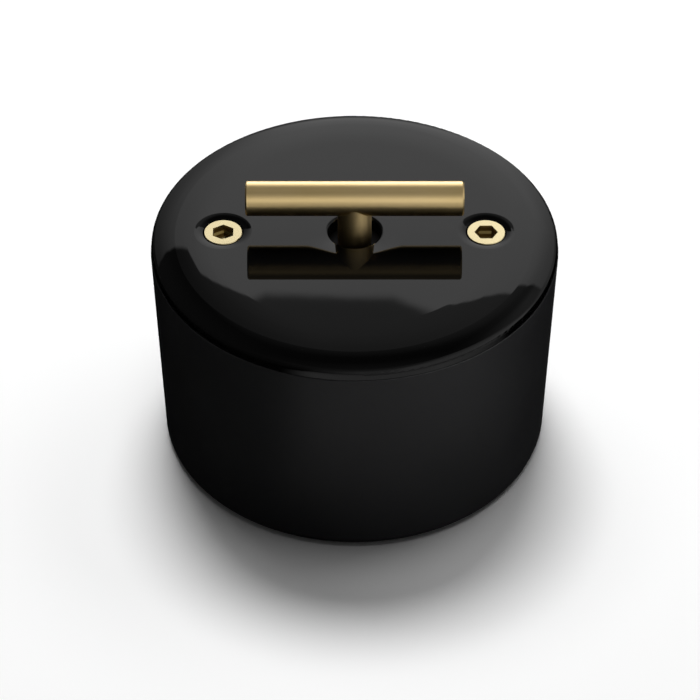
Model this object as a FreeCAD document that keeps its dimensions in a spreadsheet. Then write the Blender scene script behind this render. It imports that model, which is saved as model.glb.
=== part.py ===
import FreeCAD, Part
import math
import os
import Sketcher

# A surface-mounted rotary light switch with a brass T-bar handle, in millimetres.
# The origin is at the middle of the wall face, +Z points away from the wall, and the T-bar lies along X.

V = FreeCAD.Vector

# Driving dimensions: one row for each, as alias, value and what it measures
DIMENSIONS = (
    ("rim_radius", 35.0, "drum, outer radius at its open rim"),
    ("foot_radius", 34.0, "drum, outer radius at the wall face"),
    ("seam_height", 39.3, "wall face to the joint between drum and cover"),
    ("drum_wall", 4.5, "thickness of the drum's wall"),
    ("floor_thickness", 4.0, "thickness of the drum's floor"),
    ("foot_round", 1.8, "rounding of the drum's lower edge"),
    ("rim_round", 0.15, "rounding of the drum's upper outer edge"),
    ("floor_round", 1.5, "rounding inside, where the drum's wall meets its floor"),
    ("cable_radius", 8.0, "cable inlet in the drum's floor"),
    ("slot_spacing", 48.0, "distance between the two wall-fixing slots"),
    ("slot_radius", 2.1, "half the width of a wall-fixing slot"),
    ("slot_length", 6.5, "length of a wall-fixing slot, end to end"),
    ("boss_radius", 5.6, "bosses in the drum for the cover's screws"),
    ("boss_gap", 0.2, "space between the bosses and the cover's lugs"),
    ("cover_radius", 34.85, "cover, outer radius"),
    ("cover_band", 1.0, "upright band at the cover's edge"),
    ("face_rise", 3.0, "seam to the cover's flat face"),
    ("dome_radius", 70.0, "slow curve of the cover outside its flat middle"),
    ("dome_slope", 5.0, "slope in degrees where the slow curve ends"),
    ("shoulder_radius", 12.0, "rounded shoulder of the cover"),
    ("shoulder_slope", 22.0, "slope in degrees where the shoulder ends"),
    ("cover_wall", 4.3, "thickness of the cover's face"),
    ("spigot_depth", 2.9, "how far the cover's ring reaches into the drum"),
    ("spigot_wall", 3.5, "thickness of the cover's ring"),
    ("spigot_gap", 0.3, "space between the cover's ring and the drum"),
    ("hub_radius", 9.5, "hub under the cover's middle"),
    ("lug_radius", 6.2, "lugs under the cover for its screws"),
    ("face_hole_radius", 4.55, "hole in the cover that the stem passes"),
    ("hole_round", 0.4, "rounded lip of the stem's hole"),
    ("recess_lip", 0.72, "width of the sloping lips of the screw recesses, before they are rounded"),
    ("recess_slope", 24.0, "slope in degrees of those lips"),
    ("recess_round_share", 0.9, "share of those lips that the rounding takes in"),
    ("screw_offset", 22.53, "middle of the cover to each cover screw"),
    ("screw_radius", 2.0, "cover screw, shank"),
    ("screw_length", 10.0, "cover screw, shank length"),
    ("screw_head_radius", 3.3, "cover screw, head"),
    ("screw_head_height", 2.2, "cover screw, head height"),
    ("screw_sink", 0.25, "how far the screw heads lie below the face"),
    ("screw_head_gap", 0.2, "space around the screw heads"),
    ("screw_hole_gap", 0.3, "space around the cover screws' shanks"),
    ("hex_flats", 3.5, "hexagon socket, across its flats"),
    ("hex_depth", 1.5, "hexagon socket, depth"),
    ("insert_wall", 1.0, "wall of the threaded inserts"),
    ("insert_length", 8.0, "length of the cover's threaded inserts"),
    ("bar_radius", 2.96, "T-bar, radius"),
    ("bar_length", 37.0, "T-bar, length"),
    ("bar_lift", 7.05, "cover's face to the T-bar's axis"),
    ("bar_edge", 0.25, "edge break at the T-bar's ends"),
    ("stem_radius", 2.9, "stem, where it shows"),
    ("journal_radius", 2.4, "stem, where it turns in the bush"),
    ("pin_radius", 1.5, "stem's pin in the T-bar"),
    ("pin_rise", 0.9, "how far that pin passes the T-bar's axis"),
    ("bush_depth", 2.6, "cover's face to the top of the bush"),
    ("bush_wall", 3.6, "wall of the bush around the journal"),
    ("flange_wall", 1.4, "how far the bush's flange stands out"),
    ("flange_thickness", 0.8, "thickness of the bush's flange"),
    ("washer_thickness", 0.5, "washers and the spring clip"),
    ("washer_rim", 2.2, "ring width of the washers"),
    ("clip_rim", 1.7, "ring width of the spring clip"),
    ("groove_depth", 0.4, "groove for the spring clip"),
    ("tongue_thickness", 2.0, "tongue at the stem's foot"),
    ("tongue_length", 2.5, "tongue, how far it hangs below the journal"),
    ("running_gap", 0.05, "radial play of the turning shafts"),
    ("face_gap", 0.1, "end play of the turning pieces"),
    ("tongue_gap", 0.1, "play of the tongue in its slot"),
    ("pillar_offset", 16.0, "middle to each pillar and mechanism screw"),
    ("pillar_radius", 4.0, "pillars in the drum under the mechanism"),
    ("pillar_rise", 7.5, "height of the pillars above the floor"),
    ("base_thickness", 6.0, "mechanism base, thickness"),
    ("base_length", 39.0, "mechanism base, along Y"),
    ("base_corner", 5.0, "mechanism base, corner radius"),
    ("base_margin", 0.3, "mechanism base, rim outside the terminals"),
    ("base_edge", 0.6, "mechanism base, chamfer round its top"),
    ("fixing_radius", 1.45, "mechanism screws, shank"),
    ("fixing_length", 12.0, "mechanism screws, shank length"),
    ("fixing_head_radius", 2.7, "mechanism screws, head"),
    ("fixing_head_height", 1.9, "mechanism screws, head height"),
    ("hole_gap", 0.2, "space around screws and rivets in their holes"),
    ("bridge_thickness", 1.2, "bridge, sheet thickness"),
    ("bridge_width", 12.0, "bridge, width along X"),
    ("bridge_gap", 0.8, "rotor to the inside of the bridge's legs"),
    ("bridge_reach", 19.0, "axis to the end of the bridge's feet"),
    ("bridge_bend", 0.9, "bridge, inner radius of its bends"),
    ("bridge_corner", 2.0, "bridge, corner radius of its feet"),
    ("bearing_wall", 1.2, "bridge bush, wall of its sleeve"),
    ("bearing_flange", 1.3, "bridge bush, how far its flange stands out"),
    ("bearing_thickness", 1.0, "bridge bush, flange thickness"),
    ("bearing_rivet", 0.4, "bridge bush, how far it stands above the bridge"),
    ("pivot_radius", 2.0, "spindle, lower pivot"),
    ("pivot_length", 5.2, "spindle, how far the pivot reaches into the base"),
    ("square_flats", 5.0, "spindle's square, across its flats"),
    ("upper_radius", 3.1, "spindle, upper journal"),
    ("coupling_gap", 0.2, "stem's foot to the spindle's top"),
    ("slot_floor", 0.3, "tongue's end to the bottom of its slot"),
    ("rotor_radius", 10.0, "rotor, outer radius"),
    ("rotor_height", 8.4, "rotor, height"),
    ("rotor_edge", 0.5, "rotor, edge break"),
    ("segment_depth", 1.8, "contact segments, radial thickness"),
    ("segment_height", 5.0, "contact segments, height"),
    ("segment_lift", 1.8, "rotor's lower face to the segments"),
    ("segment_angle", 116.0, "angle that one segment covers, in degrees"),
    ("cam_flats", 11.0, "detent cam, across its flats"),
    ("cam_thickness", 3.0, "detent cam, thickness"),
    ("cam_corner", 1.4, "detent cam, corner radius"),
    ("collar_wall", 0.9, "detent cam, its collar outside the spindle's corners"),
    ("strip_thickness", 0.5, "spring strip of the contacts and detent"),
    ("strip_bend", 0.6, "spring strip, inner radius of its bends"),
    ("detent_gap", 0.05, "detent springs to the cam's flats at rest"),
    ("clip_gap", 0.2, "detent springs to the bridge's legs that they clip round"),
    ("detent_margin", 0.3, "how far the cam reaches past the detent springs, above and below"),
    ("finger_width", 4.0, "contact fingers, width"),
    ("finger_slit", 0.6, "slit that parts each finger in two"),
    ("finger_gap", 0.1, "contact fingers to the rotor"),
    ("block_width", 6.5, "terminal block, across"),
    ("block_length", 7.0, "terminal block, outwards"),
    ("block_height", 7.5, "terminal block, height"),
    ("block_start", 12.9, "axis to the inner end of the terminal blocks"),
    ("block_edge", 0.4, "terminal block, edge break"),
    ("wire_radius", 1.5, "wire hole in the terminal blocks"),
    ("wire_depth", 5.2, "depth of the wire hole"),
    ("clamp_radius", 1.2, "clamp screw, shank"),
    ("clamp_head_radius", 2.1, "clamp screw, head"),
    ("clamp_head_height", 1.7, "clamp screw, head height"),
    ("driver_slot", 0.6, "screwdriver slots, width"),
    ("rivet_radius", 1.0, "terminal rivets, shank"),
    ("rivet_head_radius", 1.9, "terminal rivets, head"),
    ("rivet_head_height", 1.2, "terminal rivets, head height"),
    ("rivet_reach", 1.8, "how far the rivets reach into the blocks"),
)


class Size:
    """A dimension that carries its number and the expression that gives it."""

    def __init__(self, number, text):
        self.number = number
        self.text = text

    def joined(self, other, sign, number):
        return Size(number, "(%s %s %s)" % (self.text, sign, text_of(other)))

    def __add__(self, other):
        return self.joined(other, "+", self.number + number_of(other))

    def __sub__(self, other):
        return self.joined(other, "-", self.number - number_of(other))

    def __mul__(self, other):
        return self.joined(other, "*", self.number * number_of(other))

    def __truediv__(self, other):
        return self.joined(other, "/", self.number / number_of(other))

    def __neg__(self):
        return Size(-self.number, "(0 - %s)" % self.text)


def number_of(value):
    return value.number if isinstance(value, Size) else float(value)


def text_of(value):
    return value.text if isinstance(value, Size) else repr(float(value))


def sine(angle):
    """Sine of an angle that is given in degrees."""
    return Size(math.sin(math.radians(angle.number)), "sin(%s * 1 deg)" % angle.text)


def cosine(angle):
    """Cosine of an angle that is given in degrees."""
    return Size(math.cos(math.radians(angle.number)), "cos(%s * 1 deg)" % angle.text)


def make_sheet(document):
    """Put the driving dimensions in a spreadsheet, and give each back as a Size."""
    sheet = document.addObject("Spreadsheet::Sheet", "Sizes")
    sizes = {}
    for row, (alias, value, note) in enumerate(DIMENSIONS, start=1):
        sheet.set("A%d" % row, note)
        sheet.set("B%d" % row, str(value))
        sheet.setAlias("B%d" % row, alias)
        sizes[alias] = Size(value, "Sizes." + alias)
    document.recompute()
    return sizes


doc = FreeCAD.newDocument("rotary_switch")
S = make_sheet(doc)
parts = {}

# Heights and radii that several pieces share
FACE_Z = S["seam_height"] + S["face_rise"]
RING_Z = S["seam_height"] - S["spigot_depth"]
CEILING_Z = FACE_Z - S["cover_wall"]
HEAD_Z = FACE_Z - S["screw_sink"]
SEAT_Z = HEAD_Z - S["screw_head_height"]
BOSS_Z = RING_Z - S["boss_gap"]
BAR_Z = FACE_Z + S["bar_lift"]
BUSH_Z = FACE_Z - S["bush_depth"]
FLANGE_Z = RING_Z - S["flange_thickness"]
WASHER_Z = FLANGE_Z - S["face_gap"] - S["washer_thickness"]
CLIP_Z = WASHER_Z - S["washer_thickness"]
JOURNAL_Z = CLIP_Z - S["washer_thickness"]
TONGUE_Z = JOURNAL_Z - S["tongue_length"]
SPINDLE_Z = JOURNAL_Z - S["coupling_gap"]
PILLAR_Z = S["floor_thickness"] + S["pillar_rise"]
BASE_Z = PILLAR_Z + S["base_thickness"]
ROTOR_Z = BASE_Z + S["washer_thickness"] + S["face_gap"]
CAM_Z = ROTOR_Z + S["rotor_height"]
BEARING_Z = SPINDLE_Z - S["coupling_gap"]
BRIDGE_Z = BEARING_Z - S["bearing_rivet"] - S["bridge_thickness"]
THRUST_Z = BRIDGE_Z - S["bearing_thickness"]
FOOT_Z = BASE_Z + S["bridge_thickness"]
BLOCK_Z = BASE_Z + S["strip_thickness"]
BLOCK_TOP_Z = BLOCK_Z + S["block_height"]
CLIP_RADIUS = S["journal_radius"] - S["groove_depth"]
BORE_RADIUS = S["journal_radius"] + S["running_gap"]
BUSH_RADIUS = BORE_RADIUS + S["bush_wall"]
INSERT_RADIUS = S["screw_radius"] + S["running_gap"] + S["insert_wall"]
NUT_RADIUS = S["fixing_radius"] + S["running_gap"] + S["insert_wall"]
NUT_LENGTH = S["fixing_length"] - S["bridge_thickness"] - S["base_thickness"] + S["insert_wall"]
BLOCK_MIDDLE = S["block_start"] + S["block_length"] / 2
HALF_TURN = 180
QUARTERS = (45, 135, 225, 315)


def bind(item, path, value):
    """Tie a property or a constraint to the spreadsheet."""
    if isinstance(value, Size):
        item.setExpression(path, value.text)


def new_body(label):
    body = doc.addObject("PartDesign::Body", label)
    body.Label = label
    return body


def sketch_on(body, role, lift=None):
    """A sketch on one of the body's own origin planes, moved along the plane's normal by lift."""
    plane = [item for item in body.Origin.OriginFeatures if item.Role == role][0]
    sketch = body.newObject("Sketcher::SketchObject", "sketch")
    sketch.AttachmentSupport = [(plane, "")]
    sketch.MapMode = "FlatFace"
    if lift is not None:
        sketch.AttachmentOffset = FreeCAD.Placement(V(0, 0, number_of(lift)), FreeCAD.Rotation())
        bind(sketch, "AttachmentOffset.Base.z", lift)
    return sketch


def hold(sketch, element, point, x, y):
    """Fix a point of a sketch: on an axis where a coordinate is plain 0, else at its Size."""
    for kind, axis, value in (("DistanceX", -2, x), ("DistanceY", -1, y)):
        if not isinstance(value, Size) and value == 0:
            sketch.addConstraint(Sketcher.Constraint("PointOnObject", element, point, axis))
            continue
        index = sketch.addConstraint(
            Sketcher.Constraint(kind, -1, 1, element, point, number_of(value))
        )
        bind(sketch, "Constraints[%d]" % index, value)


def add_circle(sketch, x, y, radius):
    shape = Part.Circle(V(number_of(x), number_of(y), 0), V(0, 0, 1), number_of(radius))
    element = sketch.addGeometry(shape, False)
    hold(sketch, element, 3, x, y)
    index = sketch.addConstraint(Sketcher.Constraint("Radius", element, number_of(radius)))
    bind(sketch, "Constraints[%d]" % index, radius)


def add_outline(sketch, points, arcs=None):
    """A closed outline through points. arcs gives the radius of each side that is round:
    positive where it turns anticlockwise from its first point to its second. A half circle
    is given as HALF_TURN, turns anticlockwise and has its ends level or one above the other."""
    arcs = arcs or {}
    spots = [V(number_of(x), number_of(y), 0) for x, y in points]
    ends = []
    for side, start in enumerate(spots):
        finish = spots[(side + 1) % len(spots)]
        if side not in arcs:
            element = sketch.addGeometry(Part.LineSegment(start, finish), False)
            ends.append((element, 1, 2))
            continue
        chord = finish - start
        is_half = arcs[side] == HALF_TURN
        radius = chord.Length / 2 if is_half else number_of(arcs[side])
        reach = 0 if is_half else math.sqrt(radius**2 - chord.Length**2 / 4)
        normal = V(-chord.y, chord.x, 0).normalize()
        centre = (start + finish) * 0.5 + normal * math.copysign(reach, radius)
        circle = Part.Circle(centre, V(0, 0, 1), abs(radius))
        first, last = (start, finish) if radius > 0 else (finish, start)
        angles = [math.atan2(spot.y - centre.y, spot.x - centre.x) for spot in (first, last)]
        element = sketch.addGeometry(Part.ArcOfCircle(circle, angles[0], angles[1]), False)
        ends.append((element, 1, 2) if radius > 0 else (element, 2, 1))
        if is_half:
            kind = "Horizontal" if abs(chord.x) > abs(chord.y) else "Vertical"
            sketch.addConstraint(Sketcher.Constraint(kind, element, 3, element, 1))
            continue
        index = sketch.addConstraint(Sketcher.Constraint("Radius", element, abs(radius)))
        length = arcs[side] if radius > 0 else -arcs[side]
        bind(sketch, "Constraints[%d]" % index, length)
    for side, (element, first, last) in enumerate(ends):
        following = ends[(side + 1) % len(ends)]
        sketch.addConstraint(
            Sketcher.Constraint("Coincident", element, last, following[0], following[1])
        )
        hold(sketch, element, first, points[side][0], points[side][1])


def add_box(sketch, x_low, x_high, y_low, y_high):
    add_outline(sketch, [(x_low, y_low), (x_high, y_low), (x_high, y_high), (x_low, y_high)])


def add_slot(sketch, x, y, half_straight, radius):
    """A slot that runs along the sketch's second axis."""
    add_outline(
        sketch,
        [
            (x + radius, y - half_straight),
            (x + radius, y + half_straight),
            (x - radius, y + half_straight),
            (x - radius, y - half_straight),
        ],
        {1: HALF_TURN, 3: HALF_TURN},
    )


def feature(body, kind, sketch, length=None, middle=False, up=False):
    """Pad or Pocket a sketch. Without a length a Pocket goes through all."""
    item = body.newObject("PartDesign::" + kind, kind.lower())
    item.Profile = sketch
    if length is None:
        item.Type = "ThroughAll"
    else:
        item.Length = number_of(length)
        bind(item, "Length", length)
    if middle:
        item.SideType = "Symmetric"
    if up:
        item.Reversed = True
    return item


def turned(body, kind, sketch, angle=None):
    """Revolution or Groove about the sketch's upright axis, all round or centred on its plane."""
    item = body.newObject("PartDesign::" + kind, kind.lower())
    item.Profile = sketch
    item.ReferenceAxis = (sketch, ["V_Axis"])
    item.Angle = 360 if angle is None else number_of(angle)
    if angle is not None:
        item.Midplane = True
        bind(item, "Angle", angle)
    return item


def edges_where(shape, wanted):
    """Names of the edges whose every sampled point passes the test."""
    names = []
    for index, edge in enumerate(shape.Edges, start=1):
        first, last = edge.ParameterRange
        spots = [edge.valueAt(first + (last - first) * step / 4) for step in range(5)]
        if all(wanted(spot) for spot in spots):
            names.append("Edge%d" % index)
    return names


def dress(body, kind, base, wanted, size, slope=None):
    """Fillet or Chamfer on the edges that the test picks. slope is a chamfer's angle to the face."""
    doc.recompute()
    names = edges_where(base.Shape, wanted)
    if not names:
        raise ValueError("no edge found for a %s on %s" % (kind, body.Label))
    item = body.newObject("PartDesign::" + kind, kind.lower())
    item.Base = (base, names)
    path = "Radius" if kind == "Fillet" else "Size"
    setattr(item, path, number_of(size))
    bind(item, path, size)
    if slope is not None:
        item.ChamferType = "Distance and Angle"
        item.Angle = number_of(slope)
        bind(item, "Angle", slope)
    return item


def near(value, target):
    return abs(value - number_of(target)) < 0.01


def ring(label, inner, outer, bottom, top):
    """A plain ring about the axis, such as a washer."""
    body = new_body(label)
    sketch = sketch_on(body, "XY_Plane", bottom)
    add_circle(sketch, 0, 0, outer)
    add_circle(sketch, 0, 0, inner)
    feature(body, "Pad", sketch, top - bottom)
    return body


def turn_about_axis(item, degrees):
    item.Placement = FreeCAD.Placement(V(0, 0, 0), FreeCAD.Rotation(V(0, 0, 1), degrees))


def group(label, items):
    """Identical pieces as one sub-part of separate solids."""
    compound = doc.addObject("Part::Compound", label)
    compound.Label = label
    compound.Links = items
    parts[label] = compound


# Drum


def make_housing():
    """One-piece moulded cup with a slight draft, bosses, pillars, slots and cable inlet."""
    body = new_body("housing")
    draft = (S["rim_radius"] - S["foot_radius"]) / S["seam_height"]
    floor_radius = S["foot_radius"] + draft * S["floor_thickness"] - S["drum_wall"]
    profile = sketch_on(body, "XZ_Plane")
    add_outline(
        profile,
        [
            (S["cable_radius"], 0),
            (S["foot_radius"], 0),
            (S["rim_radius"], S["seam_height"]),
            (S["rim_radius"] - S["drum_wall"], S["seam_height"]),
            (floor_radius, S["floor_thickness"]),
            (S["cable_radius"], S["floor_thickness"]),
        ],
    )
    cup = turned(body, "Revolution", profile)
    foot = dress(
        body,
        "Fillet",
        cup,
        lambda spot: near(spot.z, 0) and near(math.hypot(spot.x, spot.y), S["foot_radius"]),
        S["foot_round"],
    )
    rim = dress(
        body,
        "Fillet",
        foot,
        lambda spot: near(spot.z, S["seam_height"])
        and near(math.hypot(spot.x, spot.y), S["rim_radius"]),
        S["rim_round"],
    )
    dress(
        body,
        "Fillet",
        rim,
        lambda spot: near(spot.z, S["floor_thickness"])
        and near(math.hypot(spot.x, spot.y), floor_radius),
        S["floor_round"],
    )
    wall_middle = S["foot_radius"] - S["drum_wall"] / 2
    bosses = sketch_on(body, "XY_Plane", S["floor_thickness"])
    for side in (1, -1):
        add_outline(
            bosses,
            [
                (wall_middle * side, -S["boss_radius"] * side),
                (wall_middle * side, S["boss_radius"] * side),
                (S["screw_offset"] * side, S["boss_radius"] * side),
                (S["screw_offset"] * side, -S["boss_radius"] * side),
            ],
            {2: HALF_TURN},
        )
    feature(body, "Pad", bosses, BOSS_Z - S["floor_thickness"])
    pillars = sketch_on(body, "XY_Plane", S["floor_thickness"])
    for side in (1, -1):
        add_circle(pillars, 0, S["pillar_offset"] * side, S["pillar_radius"])
    feature(body, "Pad", pillars, S["pillar_rise"])
    boss_holes = sketch_on(body, "XY_Plane", BOSS_Z)
    for side in (1, -1):
        add_circle(boss_holes, S["screw_offset"] * side, 0, INSERT_RADIUS)
    feature(body, "Pocket", boss_holes, S["insert_length"] + S["screw_length"] / 4)
    pillar_holes = sketch_on(body, "XY_Plane", PILLAR_Z)
    for side in (1, -1):
        add_circle(pillar_holes, 0, S["pillar_offset"] * side, NUT_RADIUS)
    feature(body, "Pocket", pillar_holes, NUT_LENGTH)
    slots = sketch_on(body, "XY_Plane", S["floor_thickness"])
    half_straight = S["slot_length"] / 2 - S["slot_radius"]
    for side in (1, -1):
        middle = S["slot_spacing"] / 2 * side
        add_slot(slots, S["slot_radius"] * 0, middle, half_straight, S["slot_radius"])
    feature(body, "Pocket", slots, S["floor_thickness"])
    parts["housing"] = body


# Cover


def make_top_cover():
    """Glazed cover: flat middle, slow dome, shoulder, edge round, band, ring, hub and lugs."""
    body = new_body("top_cover")
    dome = S["dome_slope"]
    shoulder = S["shoulder_slope"]
    band_z = S["seam_height"] + S["cover_band"]
    dome_drop = S["dome_radius"] * (Size(1.0, "1") - cosine(dome))
    shoulder_drop = S["shoulder_radius"] * (cosine(dome) - cosine(shoulder))
    edge_radius = (FACE_Z - band_z - dome_drop - shoulder_drop) / cosine(shoulder)
    shoulder_end = S["cover_radius"] - edge_radius * (Size(1.0, "1") - sine(shoulder))
    dome_end = shoulder_end - S["shoulder_radius"] * (sine(shoulder) - sine(dome))
    flat_radius = dome_end - S["dome_radius"] * sine(dome)
    ring_radius = S["rim_radius"] - S["drum_wall"] - S["spigot_gap"]
    ring_inner = ring_radius - S["spigot_wall"]
    hole = S["face_hole_radius"]
    lip = S["hole_round"]
    profile = sketch_on(body, "XZ_Plane")
    add_outline(
        profile,
        [
            (hole, FACE_Z - lip),
            (hole + lip, FACE_Z),
            (flat_radius, FACE_Z),
            (dome_end, FACE_Z - dome_drop),
            (shoulder_end, FACE_Z - dome_drop - shoulder_drop),
            (S["cover_radius"], band_z),
            (S["cover_radius"], S["seam_height"]),
            (ring_radius, S["seam_height"]),
            (ring_radius, RING_Z),
            (ring_inner, RING_Z),
            (ring_inner, CEILING_Z),
            (S["hub_radius"], CEILING_Z),
            (S["hub_radius"], RING_Z),
            (BUSH_RADIUS, RING_Z),
            (BUSH_RADIUS, BUSH_Z),
            (hole, BUSH_Z),
        ],
        {0: -lip, 2: -S["dome_radius"], 3: -S["shoulder_radius"], 4: -edge_radius},
    )
    turned(body, "Revolution", profile)
    lugs = sketch_on(body, "XY_Plane", RING_Z)
    for side in (1, -1):
        add_circle(lugs, S["screw_offset"] * side, 0, S["lug_radius"])
    feature(body, "Pad", lugs, CEILING_Z - RING_Z)
    recesses = sketch_on(body, "XY_Plane", SEAT_Z)
    recess_radius = S["screw_head_radius"] + S["screw_head_gap"]
    for side in (1, -1):
        add_circle(recesses, S["screw_offset"] * side, 0, recess_radius)
    feature(body, "Pocket", recesses, up=True)
    holes = sketch_on(body, "XY_Plane", SEAT_Z)
    for side in (1, -1):
        add_circle(holes, S["screw_offset"] * side, 0, S["screw_radius"] + S["screw_hole_gap"])
    drilled = feature(body, "Pocket", holes)

    def on_recess_lip(spot):
        reach = math.hypot(abs(spot.x) - S["screw_offset"].number, spot.y)
        return near(reach, recess_radius) and spot.z > number_of(HEAD_Z) - 1

    sloped = dress(body, "Chamfer", drilled, on_recess_lip, S["recess_lip"], S["recess_slope"])

    def on_lip_edge(spot):
        reach = math.hypot(abs(spot.x) - S["screw_offset"].number, spot.y)
        return near(reach, recess_radius + S["recess_lip"])

    slope = S["recess_slope"]
    lip_length = S["recess_lip"] / cosine(slope)
    widest_round = lip_length * (cosine(slope) + 1) / sine(slope)
    dress(body, "Fillet", sloped, on_lip_edge, widest_round * S["recess_round_share"])
    parts["top_cover"] = body


def make_cover_screws():
    """Two hexagon socket screws, their sockets turned as they happened to be tightened."""
    screws = []
    for side, socket_turn in ((-1, 30), (1, 0)):
        body = new_body("cover_screw_" + ("left" if side < 0 else "right"))
        profile = sketch_on(body, "XZ_Plane")
        add_outline(
            profile,
            [
                (0, SEAT_Z - S["screw_length"]),
                (S["screw_radius"], SEAT_Z - S["screw_length"]),
                (S["screw_radius"], SEAT_Z),
                (S["screw_head_radius"], SEAT_Z),
                (S["screw_head_radius"], HEAD_Z),
                (0, HEAD_Z),
            ],
        )
        turned_screw = turned(body, "Revolution", profile)
        dress(
            body,
            "Chamfer",
            turned_screw,
            lambda spot: near(spot.z, HEAD_Z)
            and near(math.hypot(spot.x, spot.y), S["screw_head_radius"]),
            S["screw_head_gap"] / 2,
        )
        socket = sketch_on(body, "XY_Plane", HEAD_Z)
        corner = S["hex_flats"] / math.sqrt(3)
        corners = []
        for step in range(6):
            angle = math.radians(socket_turn + 60 * step)
            corners.append((corner * round(math.cos(angle), 12), corner * round(math.sin(angle), 12)))
        add_outline(socket, corners)
        feature(body, "Pocket", socket, S["hex_depth"])
        body.Placement = FreeCAD.Placement(V(number_of(S["screw_offset"]) * side, 0, 0), FreeCAD.Rotation())
        bind(body, "Placement.Base.x", S["screw_offset"] * side)
        screws.append(body)
    group("cover_screws", screws)


# Handle


def make_dolly_bar():
    """Turned brass bar with a blind hole for the stem's pin."""
    body = new_body("dolly_bar")
    section = sketch_on(body, "YZ_Plane")
    add_circle(section, 0, BAR_Z, S["bar_radius"])
    bar = feature(body, "Pad", section, S["bar_length"], middle=True)
    dress(
        body,
        "Chamfer",
        bar,
        lambda spot: near(abs(spot.x), S["bar_length"] / 2),
        S["bar_edge"],
    )
    hole = sketch_on(body, "XY_Plane", BAR_Z + S["pin_rise"])
    add_circle(hole, 0, 0, S["pin_radius"])
    feature(body, "Pocket", hole)
    parts["dolly_bar"] = body


def make_dolly_stem():
    """Turned stem: coped top with a pin, shoulder on the bush, clip groove and tongue."""
    body = new_body("dolly_stem")
    shoulder_z = BUSH_Z + S["face_gap"]
    profile = sketch_on(body, "XZ_Plane")
    add_outline(
        profile,
        [
            (0, JOURNAL_Z),
            (S["journal_radius"], JOURNAL_Z),
            (S["journal_radius"], CLIP_Z),
            (CLIP_RADIUS, CLIP_Z),
            (CLIP_RADIUS, WASHER_Z),
            (S["journal_radius"], WASHER_Z),
            (S["journal_radius"], shoulder_z),
            (S["stem_radius"], shoulder_z),
            (S["stem_radius"], BAR_Z),
            (0, BAR_Z),
        ],
    )
    turned(body, "Revolution", profile)
    cope = sketch_on(body, "YZ_Plane")
    add_circle(cope, 0, BAR_Z, S["bar_radius"])
    feature(body, "Pocket", cope, S["stem_radius"] * 4, middle=True)
    pin = sketch_on(body, "XY_Plane", BAR_Z - S["bar_radius"] - S["pin_radius"] / 2)
    add_circle(pin, 0, 0, S["pin_radius"])
    feature(body, "Pad", pin, S["bar_radius"] + S["pin_radius"] / 2 + S["pin_rise"])
    tongue = sketch_on(body, "XY_Plane", TONGUE_Z)
    half_width = S["journal_radius"] * 0.9
    half_thick = S["tongue_thickness"] / 2
    add_box(tongue, -half_width, half_width, -half_thick, half_thick)
    feature(body, "Pad", tongue, S["tongue_length"])
    parts["dolly_stem"] = body


def make_stem_retainers():
    """Bush in the cover, washer under it and the spring clip in the stem's groove."""
    bush = new_body("cover_bush")
    profile = sketch_on(bush, "XZ_Plane")
    flange_radius = BUSH_RADIUS + S["flange_wall"]
    add_outline(
        profile,
        [
            (BORE_RADIUS, FLANGE_Z),
            (flange_radius, FLANGE_Z),
            (flange_radius, RING_Z),
            (BUSH_RADIUS, RING_Z),
            (BUSH_RADIUS, BUSH_Z),
            (BORE_RADIUS, BUSH_Z),
        ],
    )
    turned(bush, "Revolution", profile)
    parts["cover_bush"] = bush
    parts["stem_washer"] = ring(
        "stem_washer",
        BORE_RADIUS,
        BORE_RADIUS + S["washer_rim"],
        WASHER_Z,
        WASHER_Z + S["washer_thickness"],
    )
    clip = new_body("stem_circlip")
    section = sketch_on(clip, "XZ_Plane")
    add_box(section, CLIP_RADIUS, CLIP_RADIUS + S["clip_rim"], CLIP_Z, WASHER_Z)
    turned(clip, "Revolution", section, Size(290.0, "290"))
    parts["stem_circlip"] = clip


# Threaded inserts


def make_inserts():
    cover_inserts = []
    for side in (1, -1):
        insert = ring(
            "cover_insert",
            S["screw_radius"] + S["running_gap"],
            INSERT_RADIUS,
            BOSS_Z - S["insert_length"],
            BOSS_Z,
        )
        bind(insert, "Placement.Base.x", S["screw_offset"] * side)
        cover_inserts.append(insert)
    group("cover_inserts", cover_inserts)
    pillar_inserts = []
    for side in (1, -1):
        insert = ring(
            "pillar_insert",
            S["fixing_radius"] + S["running_gap"],
            NUT_RADIUS,
            PILLAR_Z - NUT_LENGTH,
            PILLAR_Z,
        )
        bind(insert, "Placement.Base.y", S["pillar_offset"] * side)
        pillar_inserts.append(insert)
    group("pillar_inserts", pillar_inserts)


# Mechanism base and bridge


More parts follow.
